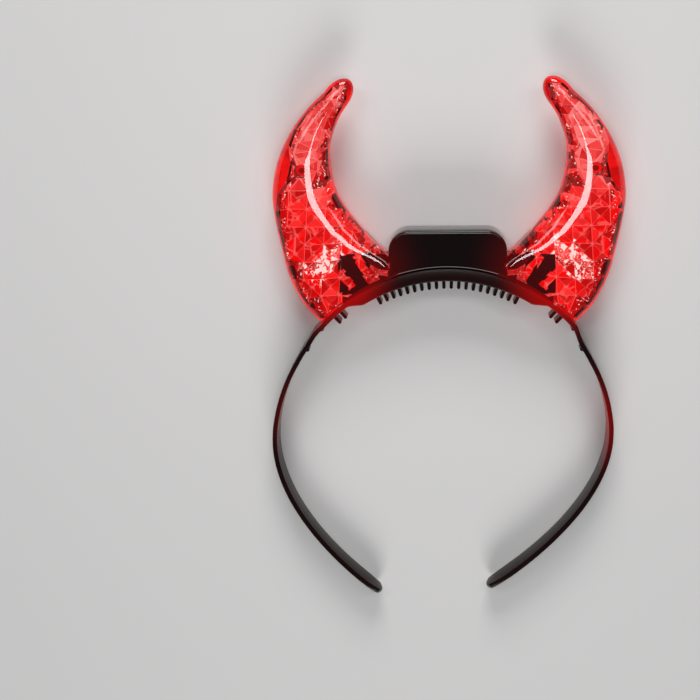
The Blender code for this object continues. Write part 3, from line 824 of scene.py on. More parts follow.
def dome_point(row, turn):
    """A point on a section's front half. turn runs from 0 at the outer edge to pi at the inner edge."""
    in_x, in_y, out_x, out_y, depth, box, bow = row
    power = box if turn > math.pi / 2 else OUTER_BOX
    reach = (abs(math.cos(turn)) ** power + abs(math.sin(turn)) ** power) ** (-1 / power)
    across = math.cos(turn) * reach
    half = Vector((out_x - in_x, out_y - in_y)) / 2
    flat = Vector((out_x + in_x, out_y + in_y)) / 2 + half * across * (1 - EASE / half.length)
    height = (depth - EASE) * math.sin(turn) * reach
    return Vector((flat.x, flat.y + bow * foot_bow(across), max(SEAM / 2, height)))


def horn_dome():
    """Rows of points over the front half of the right horn, and the point that closes its tip."""
    last = len(TABLE) - 1
    rows = [smooth_row(last * step / DOME_ROWS) for step in range(DOME_ROWS + 1)]
    turns = [math.pi * column / DOME_COLUMNS for column in range(DOME_COLUMNS + 1)]
    grid = [[dome_point(row, turn) for turn in turns] for row in rows]
    end = rows[-1]
    middle = Vector(((end[0] + end[2]) / 2, (end[1] + end[3]) / 2))
    tip = Vector((HORN_TIP[0] * HORN_REACH, HOOP_RISE + HORN_TIP[1] * HORN_HEIGHT - EASE))
    for step in range(1, CAP_ROWS):
        turn = math.pi / 2 * step / CAP_ROWS
        centre = middle + (tip - middle) * math.sin(turn)
        shrink = math.cos(turn)
        ring = []
        for point in grid[DOME_ROWS]:
            flat = centre + (point.xy - middle) * shrink
            ring.append(Vector((flat.x, flat.y, max(SEAM / 2, point.z * shrink))))
        grid.append(ring)
    return grid, Vector((*tip, SEAM / 2))


grid, apex = horn_dome()
print(f"{len(grid)} rows of {len(grid[0])} points over half a horn")

# %% [markdown]
# ## The facets
# The inner face of the shell is cut into shallow pyramids in straight rows, and into larger, uneven
# triangles towards the tip. They break the light up into the sparkle that the whole toy is about, so
# they are real geometry here and not a picture. First comes a flat net: the rim as an outline, the
# pyramids' corners and peaks, the ring boss with its pin. A constrained Delaunay triangulation joins
# these with the lines that we insist on. A Geometry Nodes tree then lifts each corner to its height under
# the outer surface, found by casting a ray onto it, so the wall stays as thick as it should be.

# %% The hollow's rim
RIM_STEP = 6.0 * MM
FOOT_RIM = 0.5 * MM  # the hollow starts this far above the foot
FOOT_RIM_STEPS = 6
CRESCENT = 4.8 * MM  # the smooth band on the outer side is widest here
CRESCENT_AT = 108.7 * MM
CRESCENT_HALF = 13.0 * MM


def rim_lines(grid, apex):
    """The seam's outline: up the outer edge, over the tip and down the inner edge, and then the foot."""
    outer = [row[0].xy for row in grid]
    inner = [row[-1].xy for row in reversed(grid)]
    foot = [point.xy for point in reversed(grid[0][1:-1])]
    return outer + [apex.xy] + inner, foot


def spaced(points, step):
    """Picks points along a line about a step apart, with both ends."""
    picked = [points[0]]
    gone = 0.0
    for a, b in zip(points, points[1:]):
        gone += (b - a).length
        if gone >= step:
            picked.append(b)
            gone = 0.0
    if gone > step / 2:
        picked.append(points[-1])
    else:
        picked[-1] = points[-1]
    return picked


def inset_outline(edge, foot):
    """The hollow's rim: the seam's outline moved inwards by the wall, in longer straight steps."""
    tip = max(range(len(edge)), key=lambda index: edge[index].y)
    sides = []
    for line, is_outer in ((edge[:tip - 2], True), (edge[tip + 3:], False)):
        moved = []
        for index in range(2, len(line) - 1):
            along = (line[index + 1] - line[index - 1]).normalized()
            inwards = Vector((-along.y, along.x))
            bump = max(0.0, 1 - ((line[index].y - CRESCENT_AT) / CRESCENT_HALF) ** 2) ** 1.5
            point = line[index] + inwards * (HORN_WALL + (CRESCENT * bump if is_outer else 0.0))
            if point.y > crown_height(point.x) + GAP + HORN_WALL / 2:
                moved.append(point)
        sides.append(spaced(moved, RIM_STEP))
    foot_rim = over_crown(foot[0].x + HORN_WALL, foot[-1].x - HORN_WALL, FOOT_RIM_STEPS, GAP + FOOT_RIM)
    return sides[0] + sides[1] + [Vector(point) for point in foot_rim]


edge, foot = rim_lines(grid, apex)
rim = inset_outline(edge, foot)
print(f"the hollow's rim has {len(rim)} points")

# %% [markdown]
# A corner of a facet has to lie in the hollow and well clear of its rim and of the ring boss, or thin
# slivers form there. A point is inside if a line from it crosses the outline an odd number of times.

# %% Clear of the rim and the boss
CLEAR_OF_RIM = 1.9 * MM
CLEAR_AT_TIP = 1.2 * MM
CLEAR_OF_BOSS = 4.0 * MM
CLEAR_OF_PYRAMIDS = 4.0 * MM
BOSS_AT = Vector((56.3, 108.2)) * MM


def inside(point, polygon):
    found = False
    for a, b in zip(polygon, polygon[1:] + polygon[:1]):
        if (a.y > point.y) != (b.y > point.y):
            if point.x < a.x + (point.y - a.y) * (b.x - a.x) / (b.y - a.y):
                found = not found
    return found


def to_line(point, polygon):
    """The distance from a point to a closed outline."""
    nearest = math.inf
    for a, b in zip(polygon, polygon[1:] + polygon[:1]):
        on, share = geometry.intersect_point_line(point, a, b)
        on = on.xy if 0 <= share <= 1 else (a if share < 0 else b)
        nearest = min(nearest, (point - on).length)
    return nearest


def free(point, clear=CLEAR_OF_RIM):
    """Whether a point lies in the hollow, clear of its rim and of the ring boss."""
    return inside(point, rim) and to_line(point, rim) > clear and (point - BOSS_AT).length > CLEAR_OF_BOSS


print("the ring boss is", "in" if inside(BOSS_AT, rim) else "outside", "the hollow")

# %% [markdown]
# Now the net. Each point has a relief, which says how high it will lie: in the seam, on the pin's end or
# on a facet. The pyramids stand in rows that lean a little. Towards the tip the points are random, and a
# fixed seed keeps them where they are.

# %% The flat net
PYRAMID_HIGH = 7.0 * MM
PYRAMID_WIDE = 7.2 * MM
PYRAMID_FROM = Vector((53.9, 100.8)) * MM  # a corner of the top row
PYRAMID_ROWS = 7
COLUMNS = range(-5, 3)  # of corners, counted outwards from PYRAMID_FROM
COLUMN_LEAN = 0.07  # the columns lean outwards on their way down
ROW_RISE = 0.09  # the lower rows rise towards the inner side
AT_SEAM = -1.0  # the relief of a point that lies in the seam's plane
AT_PIN = -2.0  # and of one on the pin's end. The facets' relief runs from 0 to 1
BOSS_SIDES = 20
BOSS_RINGS = (
    # radius in millimetres, relief
    (2.5, 0.0),  # the wall
    (2.15, AT_SEAM),  # the column's outside
    (1.3, AT_SEAM),  # the column's inside
    (1.1, AT_PIN),
)
PIN_REACH = 2.2 * MM
FOOT_POINTS = [(23.0 + 4.0 * step) * MM for step in range(7)]
FOOT_POINT_RISE = 1.3 * MM
WILD_POINTS = 15
WILD_FROM = 0.60  # the uneven facets fill the rest of the table from here
WILD_REACH = 0.23  # how far they lie from the middle, as a share of the width
WILD_NARROWING = 0.10
WILD_STRAY = 0.06
WILD_RELIEF = (0.1, 0.9)
WILD_SEED = 7
CAP_SHARES = (0.30, 0.58)  # two more points between the last row and the tip
CAP_RELIEF = 0.3


def grid_corner(row, column):
    """A corner of the pyramids' grid: rows count down from the top one, columns outwards."""
    y = PYRAMID_FROM.y - row * PYRAMID_HIGH
    x = PYRAMID_FROM.x + column * PYRAMID_WIDE + (PYRAMID_FROM.y - y) * COLUMN_LEAN
    rising = ROW_RISE * min(1.0, max(0.0, (row - 2) / 2))
    return Vector((x, y + (PYRAMID_FROM.x - x) * rising))


def flat_net():
    """Points with their height rule, and the lines between them that the triangles have to keep."""
    points, reliefs, lines = [], [], []

    def put(point, relief):
        points.append(point)
        reliefs.append(relief)
        return len(points) - 1

    def put_loop(loop, relief):
        found = [put(point, relief) for point in loop]
        lines.extend(zip(found, found[1:] + found[:1]))

    put_loop(edge + foot, AT_SEAM)
    put_loop(rim, AT_SEAM)
    turns = [2 * math.pi * k / BOSS_SIDES for k in range(BOSS_SIDES)]
    for radius, relief in BOSS_RINGS:
        put_loop([BOSS_AT + Vector((math.cos(t), math.sin(t))) * radius * MM for t in turns], relief)
    corners = {}
    for row in range(PYRAMID_ROWS + 1):
        for column in COLUMNS:
            if free(grid_corner(row, column)):
                corners[row, column] = put(grid_corner(row, column), 0.0)
    for row in range(PYRAMID_ROWS + 1):
        for column in (COLUMNS[0] - 1, *COLUMNS):
            around = [corners.get(key) for key in
                      ((row, column), (row, column + 1), (row + 1, column + 1), (row + 1, column))]
            lines.extend((a, b) for a, b in zip(around, around[1:] + around[:1]) if None not in (a, b))
            peak = (grid_corner(row, column) + grid_corner(row + 1, column + 1)) / 2
            if free(peak):
                top = put(peak, 1.0)
                lines.extend((top, corner) for corner in around if corner is not None)
    for x in FOOT_POINTS:
        put(Vector((x, crown_height(x) + GAP + FOOT_POINT_RISE)), 0.0)
    wild = random.Random(WILD_SEED)
    last = len(TABLE) - 1
    for step in range(WILD_POINTS):
        gone = step / (WILD_POINTS - 1)
        row = smooth_row(last * (WILD_FROM + (1 - WILD_FROM) * gone))
        reach = WILD_REACH - WILD_NARROWING * gone
        share = 0.5 + (reach if step % 2 else -reach) + wild.uniform(-WILD_STRAY, WILD_STRAY)
        point = Vector((row[0] + (row[2] - row[0]) * share, row[1] + (row[3] - row[1]) * share))
        if point.y > PYRAMID_FROM.y + CLEAR_OF_PYRAMIDS and free(point, CLEAR_AT_TIP):
            put(point, wild.uniform(*WILD_RELIEF))
    end = Vector((row[0] + row[2], row[1] + row[3])) / 2
    for share in CAP_SHARES:
        put(end + (apex.xy - end) * share, CAP_RELIEF)
    return points, reliefs, lines


points, reliefs, lines = flat_net()
print(f"net of {len(points)} points, {len(lines)} kept lines")

# %% [markdown]
# The tree casts a ray down onto the dome at each corner and sets the corner a wall's thickness below,
# and lower still by its relief. It also stores what the finish will ask of a face: a random tone, a
# random bend, which way it faces, and whether it is one of the blunt edges between two facets.

# %% The tree that raises the net
FACET_RELIEF = 1.3 * MM
FACET_CORE = 0.93  # the share of a facet inside its blunt edges
ABOVE_SEAM = 0.4 * MM  # no facet dips closer to the seam
IN_HOLLOW = -0.95  # a face with more relief than this is a facet
RAY_FROM = 50 * MM


def store(tree, shape, name, value, kind="FLOAT_VECTOR"):
    """Stores a value on each face under a name."""
    return add(tree, "GeometryNodeStoreNamedAttribute", {"Geometry": shape, "Name": name, "Value": value},
               data_type=kind, domain="FACE")


def facet_tree():
    """Inputs: a flat net with a 'relief' on each point. -1 is the seam, -2 the pin, 0 to 1 the facets."""
    sizes = dict.fromkeys(("Wall", "Relief", "Seam", "Pin", "Core"), "Float")
    tree, given = new_tree("facets", Dome="Object", **sizes, Seed="Int", Finish="Material")
    calc = partial(math_node, tree)
    dome = add(tree, "GeometryNodeObjectInfo", {"Object": given["Dome"]}).outputs["Geometry"]
    x, y = split(tree, tree.nodes.new("GeometryNodeInputPosition"))[:2]
    above = add(tree, "ShaderNodeCombineXYZ", {"X": x, "Y": y, "Z": RAY_FROM})
    ray = add(tree, "GeometryNodeRaycast", {"Target Geometry": dome, "Source Position": above,
                                            "Ray Direction": (0, 0, -1), "Ray Length": 2 * RAY_FROM})
    hit = split(tree, ray.outputs["Hit Position"])[2]
    relief = add(tree, "GeometryNodeInputNamedAttribute", {"Name": "relief"}, data_type="FLOAT").outputs[0]
    under = calc("SUBTRACT", calc("SUBTRACT", hit, given["Wall"]), calc("MULTIPLY", given["Relief"], relief))
    height = calc("MAXIMUM", under, calc("ADD", given["Seam"], ABOVE_SEAM))
    for below, level in ((AT_SEAM / 2, given["Seam"]), ((AT_SEAM + AT_PIN) / 2, given["Pin"])):
        height = add(tree, "GeometryNodeSwitch", input_type="FLOAT", inputs={
            "Switch": calc("LESS_THAN", relief, below), "False": height, "True": level})
    lifted = add(tree, "ShaderNodeCombineXYZ", {"X": x, "Y": y, "Z": height})
    shape = add(tree, "GeometryNodeSetPosition", {"Geometry": given["Geometry"], "Position": lifted})
    tone, bend = (add(tree, "FunctionNodeRandomValue", {"Seed": given["Seed"]}, data_type=kind)
                  for kind in ("FLOAT", "FLOAT_VECTOR"))
    bend.inputs[0].default_value = (-1, -1, -1)
    shape = store(tree, shape, "tone", tone.outputs[1], "FLOAT")
    shape = store(tree, shape, "bend", bend)
    shape = store(tree, shape, "facing", tree.nodes.new("GeometryNodeInputNormal"))
    in_hollow = calc("GREATER_THAN", relief, IN_HOLLOW)
    apart = add(tree, "GeometryNodeExtrudeMesh", {
        "Mesh": shape, "Selection": in_hollow, "Offset Scale": 0.0, "Individual": True})
    narrowed = add(tree, "GeometryNodeScaleElements", {
        "Geometry": apart, "Selection": apart.outputs["Top"], "Scale": given["Core"]})
    edged = store(tree, narrowed, "edge", apart.outputs["Side"], "FLOAT")
    return end_tree(tree, edged, given["Finish"])


print("the tree's relief is", round(FACET_RELIEF / MM, 2), "mm")

# %% [markdown]
# The triangulation fills the bay inside the horn's curve as well, so the triangles outside the outline
# are left out. The dome is what the rays hit, and later the outside of every shell.

# %% The net and the dome as meshes
def net_mesh(points, reliefs, lines):
    """The triangulated flat net, without the triangles outside the seam's outline."""
    found = geometry.delaunay_2d_cdt(points, lines, [], 0, 1e-9)
    spots, triangles, origins = found[0], found[2], found[3]
    outline = edge + foot
    kept = [t for t in triangles if inside(sum((spots[i] for i in t), Vector((0, 0))) / 3, outline)]
    mesh = bpy.data.meshes.new("net")
    mesh.from_pydata([(*spot, 0.0) for spot in spots], [], kept)
    relief = mesh.attributes.new("relief", "FLOAT", "POINT")
    for index, came_from in enumerate(origins):
        relief.data[index].value = reliefs[came_from[0]] if came_from else 0.0
    print(f"{len(kept)} triangles, {sum(1 for o in origins if not o)} new points")
    return mesh


def dome_faces(bm, grid, apex, foot_too):
    """Adds the dome up to its tip, and if asked the foot, which goes down to the seam's plane."""
    rows = [[bm.verts.new(point) for point in row] for row in grid]
    top = bm.verts.new(apex)
    for low, high in zip(rows, rows[1:]):
        for i in range(len(low) - 1):
            bm.faces.new((low[i], low[i + 1], high[i + 1], high[i]))
    for a, b in zip(rows[-1], rows[-1][1:]):
        bm.faces.new((a, b, top))
    if foot_too:
        base = rows[0]
        below = [base[0]] + [bm.verts.new((*v.co.xy, SEAM / 2)) for v in base[1:-1]] + [base[-1]]
        for i in range(len(below) - 1):
            bm.faces.new(list(dict.fromkeys((base[i], below[i], below[i + 1], base[i + 1]))))


bm = bmesh.new()
dome_faces(bm, grid, apex, False)
dome_mesh = bpy.data.meshes.new("dome")
bm.to_mesh(dome_mesh)
bm.free()
dome_object = new_object("dome", dome_mesh)
flat = net_mesh(points, reliefs, lines)

# %% [markdown]
# ## Clear red plastic and facets with painted light
# The shell is clear: light goes through it and bends, so it is a transmissive plastic with the refraction of
# acrylic. The facets behind it are where the light of the lamp is thrown back. Following every bounce in a
# closed lamp takes hours, so the light that the facets would throw back is painted into them as a glow:
# brightest and purest low down near the lamp, paler towards the tip, with painted dark gaps where a facet
# looks past the light. Each facet looks in its own direction. The random vector that the tree stored shifts
# the painted pattern on each facet, as real refraction shifts what lies behind it.

# %% Clear red
clear_red = new_material("clear red", (1.0, 0.04, 0.035), 0.03, Transmission_Weight=1.0, IOR=1.49)
print("made", clear_red.name)

# %% [markdown]
# The painted glow of the facets is built up in layers, from a facet's tone and painted shade to the painted
# sparks. What lies at one place in the horn, as the sparks beside the light and the dark shoulder do, is a
# box with a soft edge.

# %% Where the light shows, and its colours
BEND_REACH = 2.4 * MM  # how far a facet shifts what shows behind it
HUMP_BEND = 0.8 * MM
CLIMB_FROM, CLIMB_TO = 90, 118  # the glow pales between these heights, in millimetres
PATCH_SCALE, LINE_SCALE, STREAK_SCALE, SHARD_SCALE = 260.0, 150.0, 420.0, 700.0
BREAK_SCALE, SOLID_SCALE = 160.0, 110.0
# Beside the housing the horn gets painted shade, between these distances
DIM_FROM, DIM_FULL = 34 * MM, 28 * MM  # from the middle. Beside the housing the horn is dim
BOSS_LEVEL = 5.0  # the ring's shade is centred this high above the seam, in millimetres
# The boss shows a ring of painted shade round a red centre
RING_FROM, RING_FULL = 3.0 * MM, 2.6 * MM  # the dark ring's outer edge
CENTRE_FROM, CENTRE_FULL = 1.6 * MM, 1.3 * MM  # and the edge of its red centre

# Boxes of painted light: a tip highlight, sparks by the lamp, the dark shoulder showing through with red
# slits
# A box is its middle, its turn in degrees, half its size in millimetres and how softly it ends
GLEAM_BOX = ((52.0, 135.5), -52, (11.0, 1.7), 0.9)
SPARKS_BOX = ((47.5, 73.6), -40, (8.5, 3.4), 0.5)
HUMP_BOX = ((36.0, 68.0), 0, (6.0, 8.0), 0.06)
SLIT_BOXES = (((32.5, 70.5), 57, (6.0, 1.4), 0.1), ((39.5, 65.5), 45, (4.0, 1.7), 0.1))

# These glows are painted light: the lamp's light as the facets would throw it back, with painted sparks and
# glints
# The pairs are for low down near the lamp and for up at the tip. A value over 1 is brighter than white
BODY_GLOW = ((0.93, 0.0, 0.0), (0.90, 0.28, 0.29))
PALE_GLOW = ((1.0, 0.13, 0.13), (1.0, 1.2, 1.2))
BRIGHT_GLOW = ((1.0, 0.8, 0.8), (1.0, 1.6, 1.6))
SOLID_GLOW = ((0.55, 0.0, 0.0), (0.90, 0.02, 0.02))
SPARK_GLOW = (1.2, 3.4, 3.4)
GLINT_GLOW = (1.2, 3.2, 3.2)


def attribute(tree, name, output="Fac"):
    return add(tree, "ShaderNodeAttribute", attribute_name=name).outputs[output]


def turned_box(tree, place, centre, turn_deg, half, soft):
    """1 inside a rectangle round a spot, seen from the front. It fades over a share of its half size."""
    moved = vector_node(tree, "SUBTRACT", place, spot(*centre))
    turned = add(tree, "ShaderNodeVectorRotate", {"Vector": moved, "Angle": -math.radians(turn_deg)},
                 rotation_type="Z_AXIS")
    shares = vector_node(tree, "DIVIDE", turned, (half[0] * MM, half[1] * MM, 1.0))
    x_share, y_share = split(tree, vector_node(tree, "ABSOLUTE", shares))[:2]
    return ramp(tree, math_node(tree, "MAXIMUM", x_share, y_share), 1.0 + soft / 2, 1.0 - soft / 2)


print(f"a facet shifts what shows behind it by up to {BEND_REACH / MM:.1f} mm each way")

# %% [markdown]
# Each layer is blended over the ones before it by its share and its strength. The order matters: the facet's
# painted shade comes first, then the painted light that it shows of the others, and the painted shadows come
# last, with the painted glints beside them.

# %% Lit facets
def facet_material():
    """The painted glow is built up in layers, each with its share, a strength and a colour."""
    made = new_material("lit facets", (0.03, 0.0, 0.0), 0.4, Specular_IOR_Level=0.0, Emission_Strength=1.0)
    tree = made.node_tree
    step, calc, mix, box = (partial(make, tree) for make in (ramp, math_node, blend_node, turned_box))
    place, folded = from_middle(tree)
    tone, edge, relief = (attribute(tree, name) for name in ("tone", "edge", "relief"))
    bend = attribute(tree, "bend", "Vector")
    looked = vector_node(tree, "MULTIPLY_ADD", bend, (BEND_REACH,) * 3, folded)
    across, height = split(tree, looked)[:2]
    climb = step(height, spot(0, CLIMB_FROM)[1], spot(0, CLIMB_TO)[1])

    def times(first, second):
        return calc("MULTIPLY", first, second)

    def band(low, full_from, full_to, high):
        """1 where the relief lies between the middle two."""
        return times(step(relief, low, full_from), step(relief, high, full_to))

    # Random tone, painted paler where a facet faces the tips and painted deeper where it meets the rim
    upwards = split(tree, attribute(tree, "facing", "Vector"))[1]
    shade = calc("MULTIPLY_ADD", step(relief, -0.02, -0.2), -0.4, calc("MULTIPLY_ADD", upwards, 1.2, tone))
    body, pale, bright = (mix(climb, *pair) for pair in (BODY_GLOW, PALE_GLOW, BRIGHT_GLOW))
    layers = [(step(shade, 0.45, 0.0), 1, (0.55, 0.0, 0.0)), (step(shade, 0.75, 1.15), 1, pale)]

    # Painted light and shade of the facets behind it: patches, broken lines, highlights on its blunt edges,
    # a gleam
    patch = split(tree, texture(tree, "Voronoi", looked, PATCH_SCALE).outputs["Color"])[0]
    lines = texture(tree, "Voronoi", looked, LINE_SCALE)
    lines.feature = "DISTANCE_TO_EDGE"
    broken = texture(tree, "Noise", looked, BREAK_SCALE, Detail=1.0)
    line = times(step(lines, 0.05, 0.02), step(broken, 0.48, 0.56))
    in_rows = calc("MULTIPLY_ADD", band(-0.2, 0.0, 0.1, 0.2), 0.5, 0.2)
    gleam = times(step(relief, 0.62, 1.0), step(tone, 0.45, 0.6))
    gleam = calc("MAXIMUM", gleam, box(looked, *GLEAM_BOX))
    layers += [(step(patch, 0.72, 0.80), 0.30, pale), (step(patch, 0.22, 0.14), 0.35, (0.5, 0.0, 0.0)),
               (line, 0.45, bright), (edge, in_rows, bright), (gleam, 0.6, bright)]

    # The solid plastic round the hollow gets an even painted glow, and the boss a ring of painted shade
    flow = texture(tree, "Noise", place, SOLID_SCALE, Detail=3.0, Distortion=1.0)
    solid = mix(step(flow, 0.35, 0.65), *SOLID_GLOW)
    from_boss = vector_node(tree, "DISTANCE", folded, spot(*BOSS_AT / MM, BOSS_LEVEL))
    layers += [(step(relief, -0.93, -0.99), 1, solid),
               (step(from_boss, RING_FROM, RING_FULL), 1, (0.22, 0.0, 0.0)),
               (step(from_boss, CENTRE_FROM, CENTRE_FULL), 1, (0.60, 0.02, 0.02))]

    # Painted sparks next to the light
    near = box(looked, *SPARKS_BOX)
    streaks = texture(tree, "Noise", looked, STREAK_SCALE, Detail=1.0, Distortion=2.2)
    swirl = step(calc("ABSOLUTE", calc("SUBTRACT", streaks, 0.5)), 0.024, 0.012)
    shard = split(tree, texture(tree, "Voronoi", looked, SHARD_SCALE).outputs["Color"])[2]
    shard = step(calc("MULTIPLY_ADD", near, 0.12, shard), 0.84, 0.85)
    layers += [(calc("MAXIMUM", swirl, shard), step(near, 0.15, 0.4), SPARK_GLOW)]

    # Painted: the dark shoulder showing through, with red fragments, and shade and glints by the housing
    dim = step(across, DIM_FROM, DIM_FULL)
    painted_glint_bits = step(streaks, 0.64, 0.66)
    nudged = vector_node(tree, "MULTIPLY_ADD", bend, (HUMP_BEND, HUMP_BEND, 0.0), folded)
    hump = box(nudged, *HUMP_BOX)
    for slit in SLIT_BOXES:
        hump = times(hump, calc("SUBTRACT", 1.0, box(nudged, *slit)))
    layers += [(dim, 0.6, (0.22, 0.0, 0.0)), (dim, painted_glint_bits, (1.0, 1.0, 1.0)), (hump, 1, (0.03, 0.0, 0.0))]

    # Painted shadow along the hollow's rim, in broken pieces, and painted glints beside them
    shadow = times(band(-0.97, -0.93, -0.15, -0.05), step(patch, 0.60, 0.64))
    broken_shadow = step(calc("ADD", tone, patch), 1.10, 1.0)
    layers += [(shadow, 0.8, (0.18, 0.0, 0.0)), (band(-1.0, -0.92, -0.65, -0.55), broken_shadow, (0.05, 0.0, 0.0)),
               (band(-0.6, -0.5, -0.2, -0.1), painted_glint_bits, GLINT_GLOW)]
    for share, strength, colour in layers:
        body = mix(times(share, strength), body, colour)
    dress(made, Emission_Color=body)
    return made


painted_glow_facets = facet_material()
print("made", painted_glow_facets.name)

# %% [markdown]
# ## Four half shells
# A shell is its dome, its foot, the flat seam round the rim and the raised net, closed into one mesh. The
# dome and the foot are clear, the seam and everything inside it have the facets' finish. The front and
# the back shell are mirror images but for one thing: one has the pin, the other the hole for it. Then
# the room for the housing and its shoulder is cut away.

# %% Rooms for the housing
ROOM_SINK = 1.2 * MM
HOUSING_WALL = 1.6 * MM


def room(name, outline, half):
    bm = bmesh.new()
    loft(bm, [[(x, y, z) for x, y in outline] for z in (-half, half)])
    return piece_from(name, bm, laid=False)


def block_room():
    outline = [(x, y - (ROOM_SINK if y < HOOP_RISE + GAP else 0.0)) for x, y in block_outline(-GAP)]
    return room("block room", outline, HOUSING_DEPTH / 2 + GAP)


def shoulder_room(side):
    start, end = side * (HOUSING_HALF_WIDTH - HOUSING_WALL), side * (SHOULDER_REACH + GAP)
    top = HOOP_RISE + SHOULDER_RISE + GAP
    outline = over_crown(start, end, SHOULDER_STEPS, -ROOM_SINK) + [(end, top), (start, top)]
    return room("shoulder room", outline, SHOULDER_DEPTH / 2 + GAP)


block = block_room()
rooms = {side: shoulder_room(side) for side in (-1, 1)}
print("rooms to cut away:", block.name, "and", rooms[1].name)

# %% [markdown]
# Each shell is built whole, as a right front one, and mirrored into its place before the rooms are cut.
# The left and the right horn have seeds of their own, so their facets differ in tone.

# %% Build the shells
CUT_WELD = 0.005 * MM
FACETS_SHARP_DEG = 24
SEED, SEED_STEP = 11, 5
raise_net = facet_tree()


def raised_net(has_pin, seed):
    pin = -PIN_REACH if has_pin else PIN_REACH + GAP
    values = {"Dome": dome_object, "Wall": HORN_WALL, "Relief": FACET_RELIEF, "Seam": SEAM / 2, "Pin": pin,
              "Core": FACET_CORE, "Seed": seed, "Finish": painted_glow_facets}
    return run_tree(new_object("net", flat.copy()), raise_net, values, "raised net")


def cut(thing, tools, name):
    for tool in tools:
        step = thing.modifiers.new(tool.name, "BOOLEAN")
        step.operation = "DIFFERENCE"
        step.solver = "EXACT"
        step.object = tool
    bpy.context.view_layer.update()
    mesh = bpy.data.meshes.new_from_object(thing.evaluated_get(bpy.context.evaluated_depsgraph_get()))
    mesh.name = name
    bpy.data.objects.remove(thing)
    bm = bmesh.new()
    bm.from_mesh(mesh)
    print(f"{name}: {close_up(bm, CUT_WELD)} open edges")
    bm.to_mesh(mesh)
    bm.free()
    return mesh


def half_shell(name, side, is_front, seed, tools):
    net = raised_net(not is_front, seed)
    bm = bmesh.new()
    bm.from_mesh(net.data)
    bpy.data.objects.remove(net)
    for face in bm.faces:
        face.material_index = 1
    relief = bm.verts.layers.float["relief"]
    from_net = set(bm.verts)
    dome_faces(bm, grid, apex, True)
    for vert in bm.verts:
        if vert not in from_net:
            vert[relief] = AT_SEAM
    for vert in bm.verts:
        vert.co.x *= side
        vert.co.z *= 1 if is_front else -1
    whole = piece_from(name + " whole", bm, clear_red, painted_glow_facets, laid=False)
    mesh = cut(whole, tools, name)
    mesh.transform(worn)
    smooth(mesh, FACETS_SHARP_DEG)
    return new_object(name, mesh)


shells = {}
for index, (label, side) in enumerate((("left", -1), ("right", 1))):
    for facing in ("front", "back"):
        name = f"horn_{label}_{facing}_shell"
        tools = (block, rooms[side])
        shells[label, facing] = half_shell(name, side, facing == "front", SEED + SEED_STEP * index, tools)
        print(name, len(shells[label, facing].data.polygons), "faces")
for spare in (block, *rooms.values(), dome_object):
    bpy.data.objects.remove(spare)

# %% [markdown]
# ## The lights
# A five millimetre light lies on each shoulder, its domed lens pointing along the horn. The lens is
# turned like on a lathe from one profile: flange, straight barrel, dome. It has a brighter core low
# down, so it is not one even glow.

# %% Lights in the horns
LED_RADIUS = 2.5 * MM
LED_FLANGE = 0.4 * MM
LED_LENGTH = 7.6 * MM
LED_RISE = 0.45
LED_SIDES = 48
LED_BEVEL = 0.1 * MM
LENS_STEPS = 12
LENS_TURN_DEG = 72  # the dome's last ring, where a small flat closes it
CORE_AT = (44.6, 62.5)  # low in the lens, in millimetres
CORE_FULL, CORE_END = 1.5 * MM, 4.0 * MM


def lens_material():
    made = new_material("lit lens", (0.9, 0.35, 0.3), 0.12, Coat_Weight=0.6, Emission_Strength=3.0)
    tree = made.node_tree
    place, folded = from_middle(tree)
    core = ramp(tree, vector_node(tree, "DISTANCE", folded, spot(*CORE_AT)), CORE_END, CORE_FULL)
    dress(made, Emission_Color=blend_node(tree, core, (1.0, 0.12, 0.10), (1.0, 0.75, 0.7)))
    return made


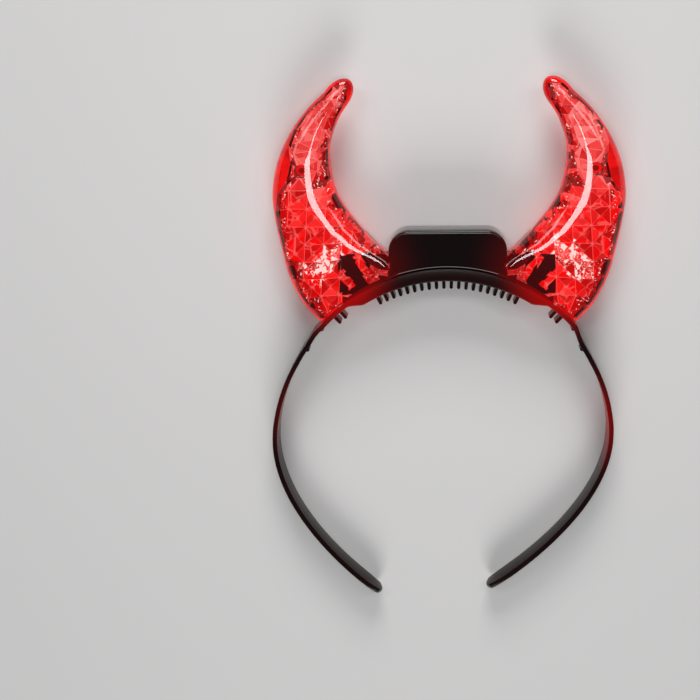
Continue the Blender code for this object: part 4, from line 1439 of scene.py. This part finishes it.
def make_led(name, side, finish):
    low = crown_height(SHOULDER_REACH) + GAP
    height = low + (HOOP_RISE + SHOULDER_RISE - low) * LED_RISE
    flange = LED_RADIUS + LED_FLANGE
    thick = 2 * LED_FLANGE
    profile = [(flange - LED_BEVEL, 0.0), (flange, LED_BEVEL), (flange, thick - LED_BEVEL),
               (flange - LED_BEVEL, thick), (LED_RADIUS, thick)]
    for step in range(LENS_STEPS + 1):
        turn = math.radians(LENS_TURN_DEG * step / LENS_STEPS)
        profile.append((LED_RADIUS * math.cos(turn), LED_LENGTH + LED_RADIUS * (math.sin(turn) - 1)))
    turns = [2 * math.pi * k / LED_SIDES for k in range(LED_SIDES)]
    rings = []
    for radius, along in profile:
        x = side * (SHOULDER_REACH + GAP + along)
        rings.append([(x, height + radius * math.cos(t), radius * math.sin(t)) for t in turns])
    bm = bmesh.new()
    loft(bm, rings)
    return piece_from(name, bm, finish)


lens = lens_material()
lights = {label: make_led(f"light_{label}", side, lens) for label, side in (("left", -1), ("right", 1))}
print("lights:", [light.name for light in lights.values()])

# %% [markdown]
# ## Which solid each piece stands for
# Every piece rides the one body that the headband is, and takes the place of its solid.

# %% Pieces and their solids
for piece in (hoop, comb, nubs):
    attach(piece, "root")
    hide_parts("headband")
for piece, node in ((tub, "housing_back"), (cover, "housing_front")):
    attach(piece, "root")
    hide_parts(node)
for (label, facing), piece in shells.items():
    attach(piece, "root")
    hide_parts(f"horn_{label}_{facing}")
for label, piece in lights.items():
    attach(piece, "root")
    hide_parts(f"led_{label}")
print("all pieces ride the headband")

# %% [markdown]
# ## A camera's bloom
# A bright lamp spills a soft halo in any camera. The compositor adds that to the picture, so the piece
# itself stays clean.

# %% Bloom, sizes and finish
scene = bpy.context.scene
scene.use_nodes = True
picture = scene.node_tree
glare = picture.nodes.new("CompositorNodeGlare")
glare.glare_type = "BLOOM"
glare.quality = "HIGH"
for name, value in (("Threshold", 0.85), ("Strength", 0.25), ("Size", 0.5)):
    glare.inputs[name].default_value = value
layers = next(node for node in picture.nodes if node.type == "R_LAYERS")
output = next(node for node in picture.nodes if node.type == "COMPOSITE")
picture.links.new(layers.outputs["Image"], glare.inputs["Image"])
picture.links.new(glare.outputs["Image"], output.inputs["Image"])

dressed_box = [list(corner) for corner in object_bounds()]
for name, box in (("solids", solid_box), ("dressed", dressed_box)):
    print(name, [round((high - low) * 1000, 3) for low, high in zip(*box)], "mm")
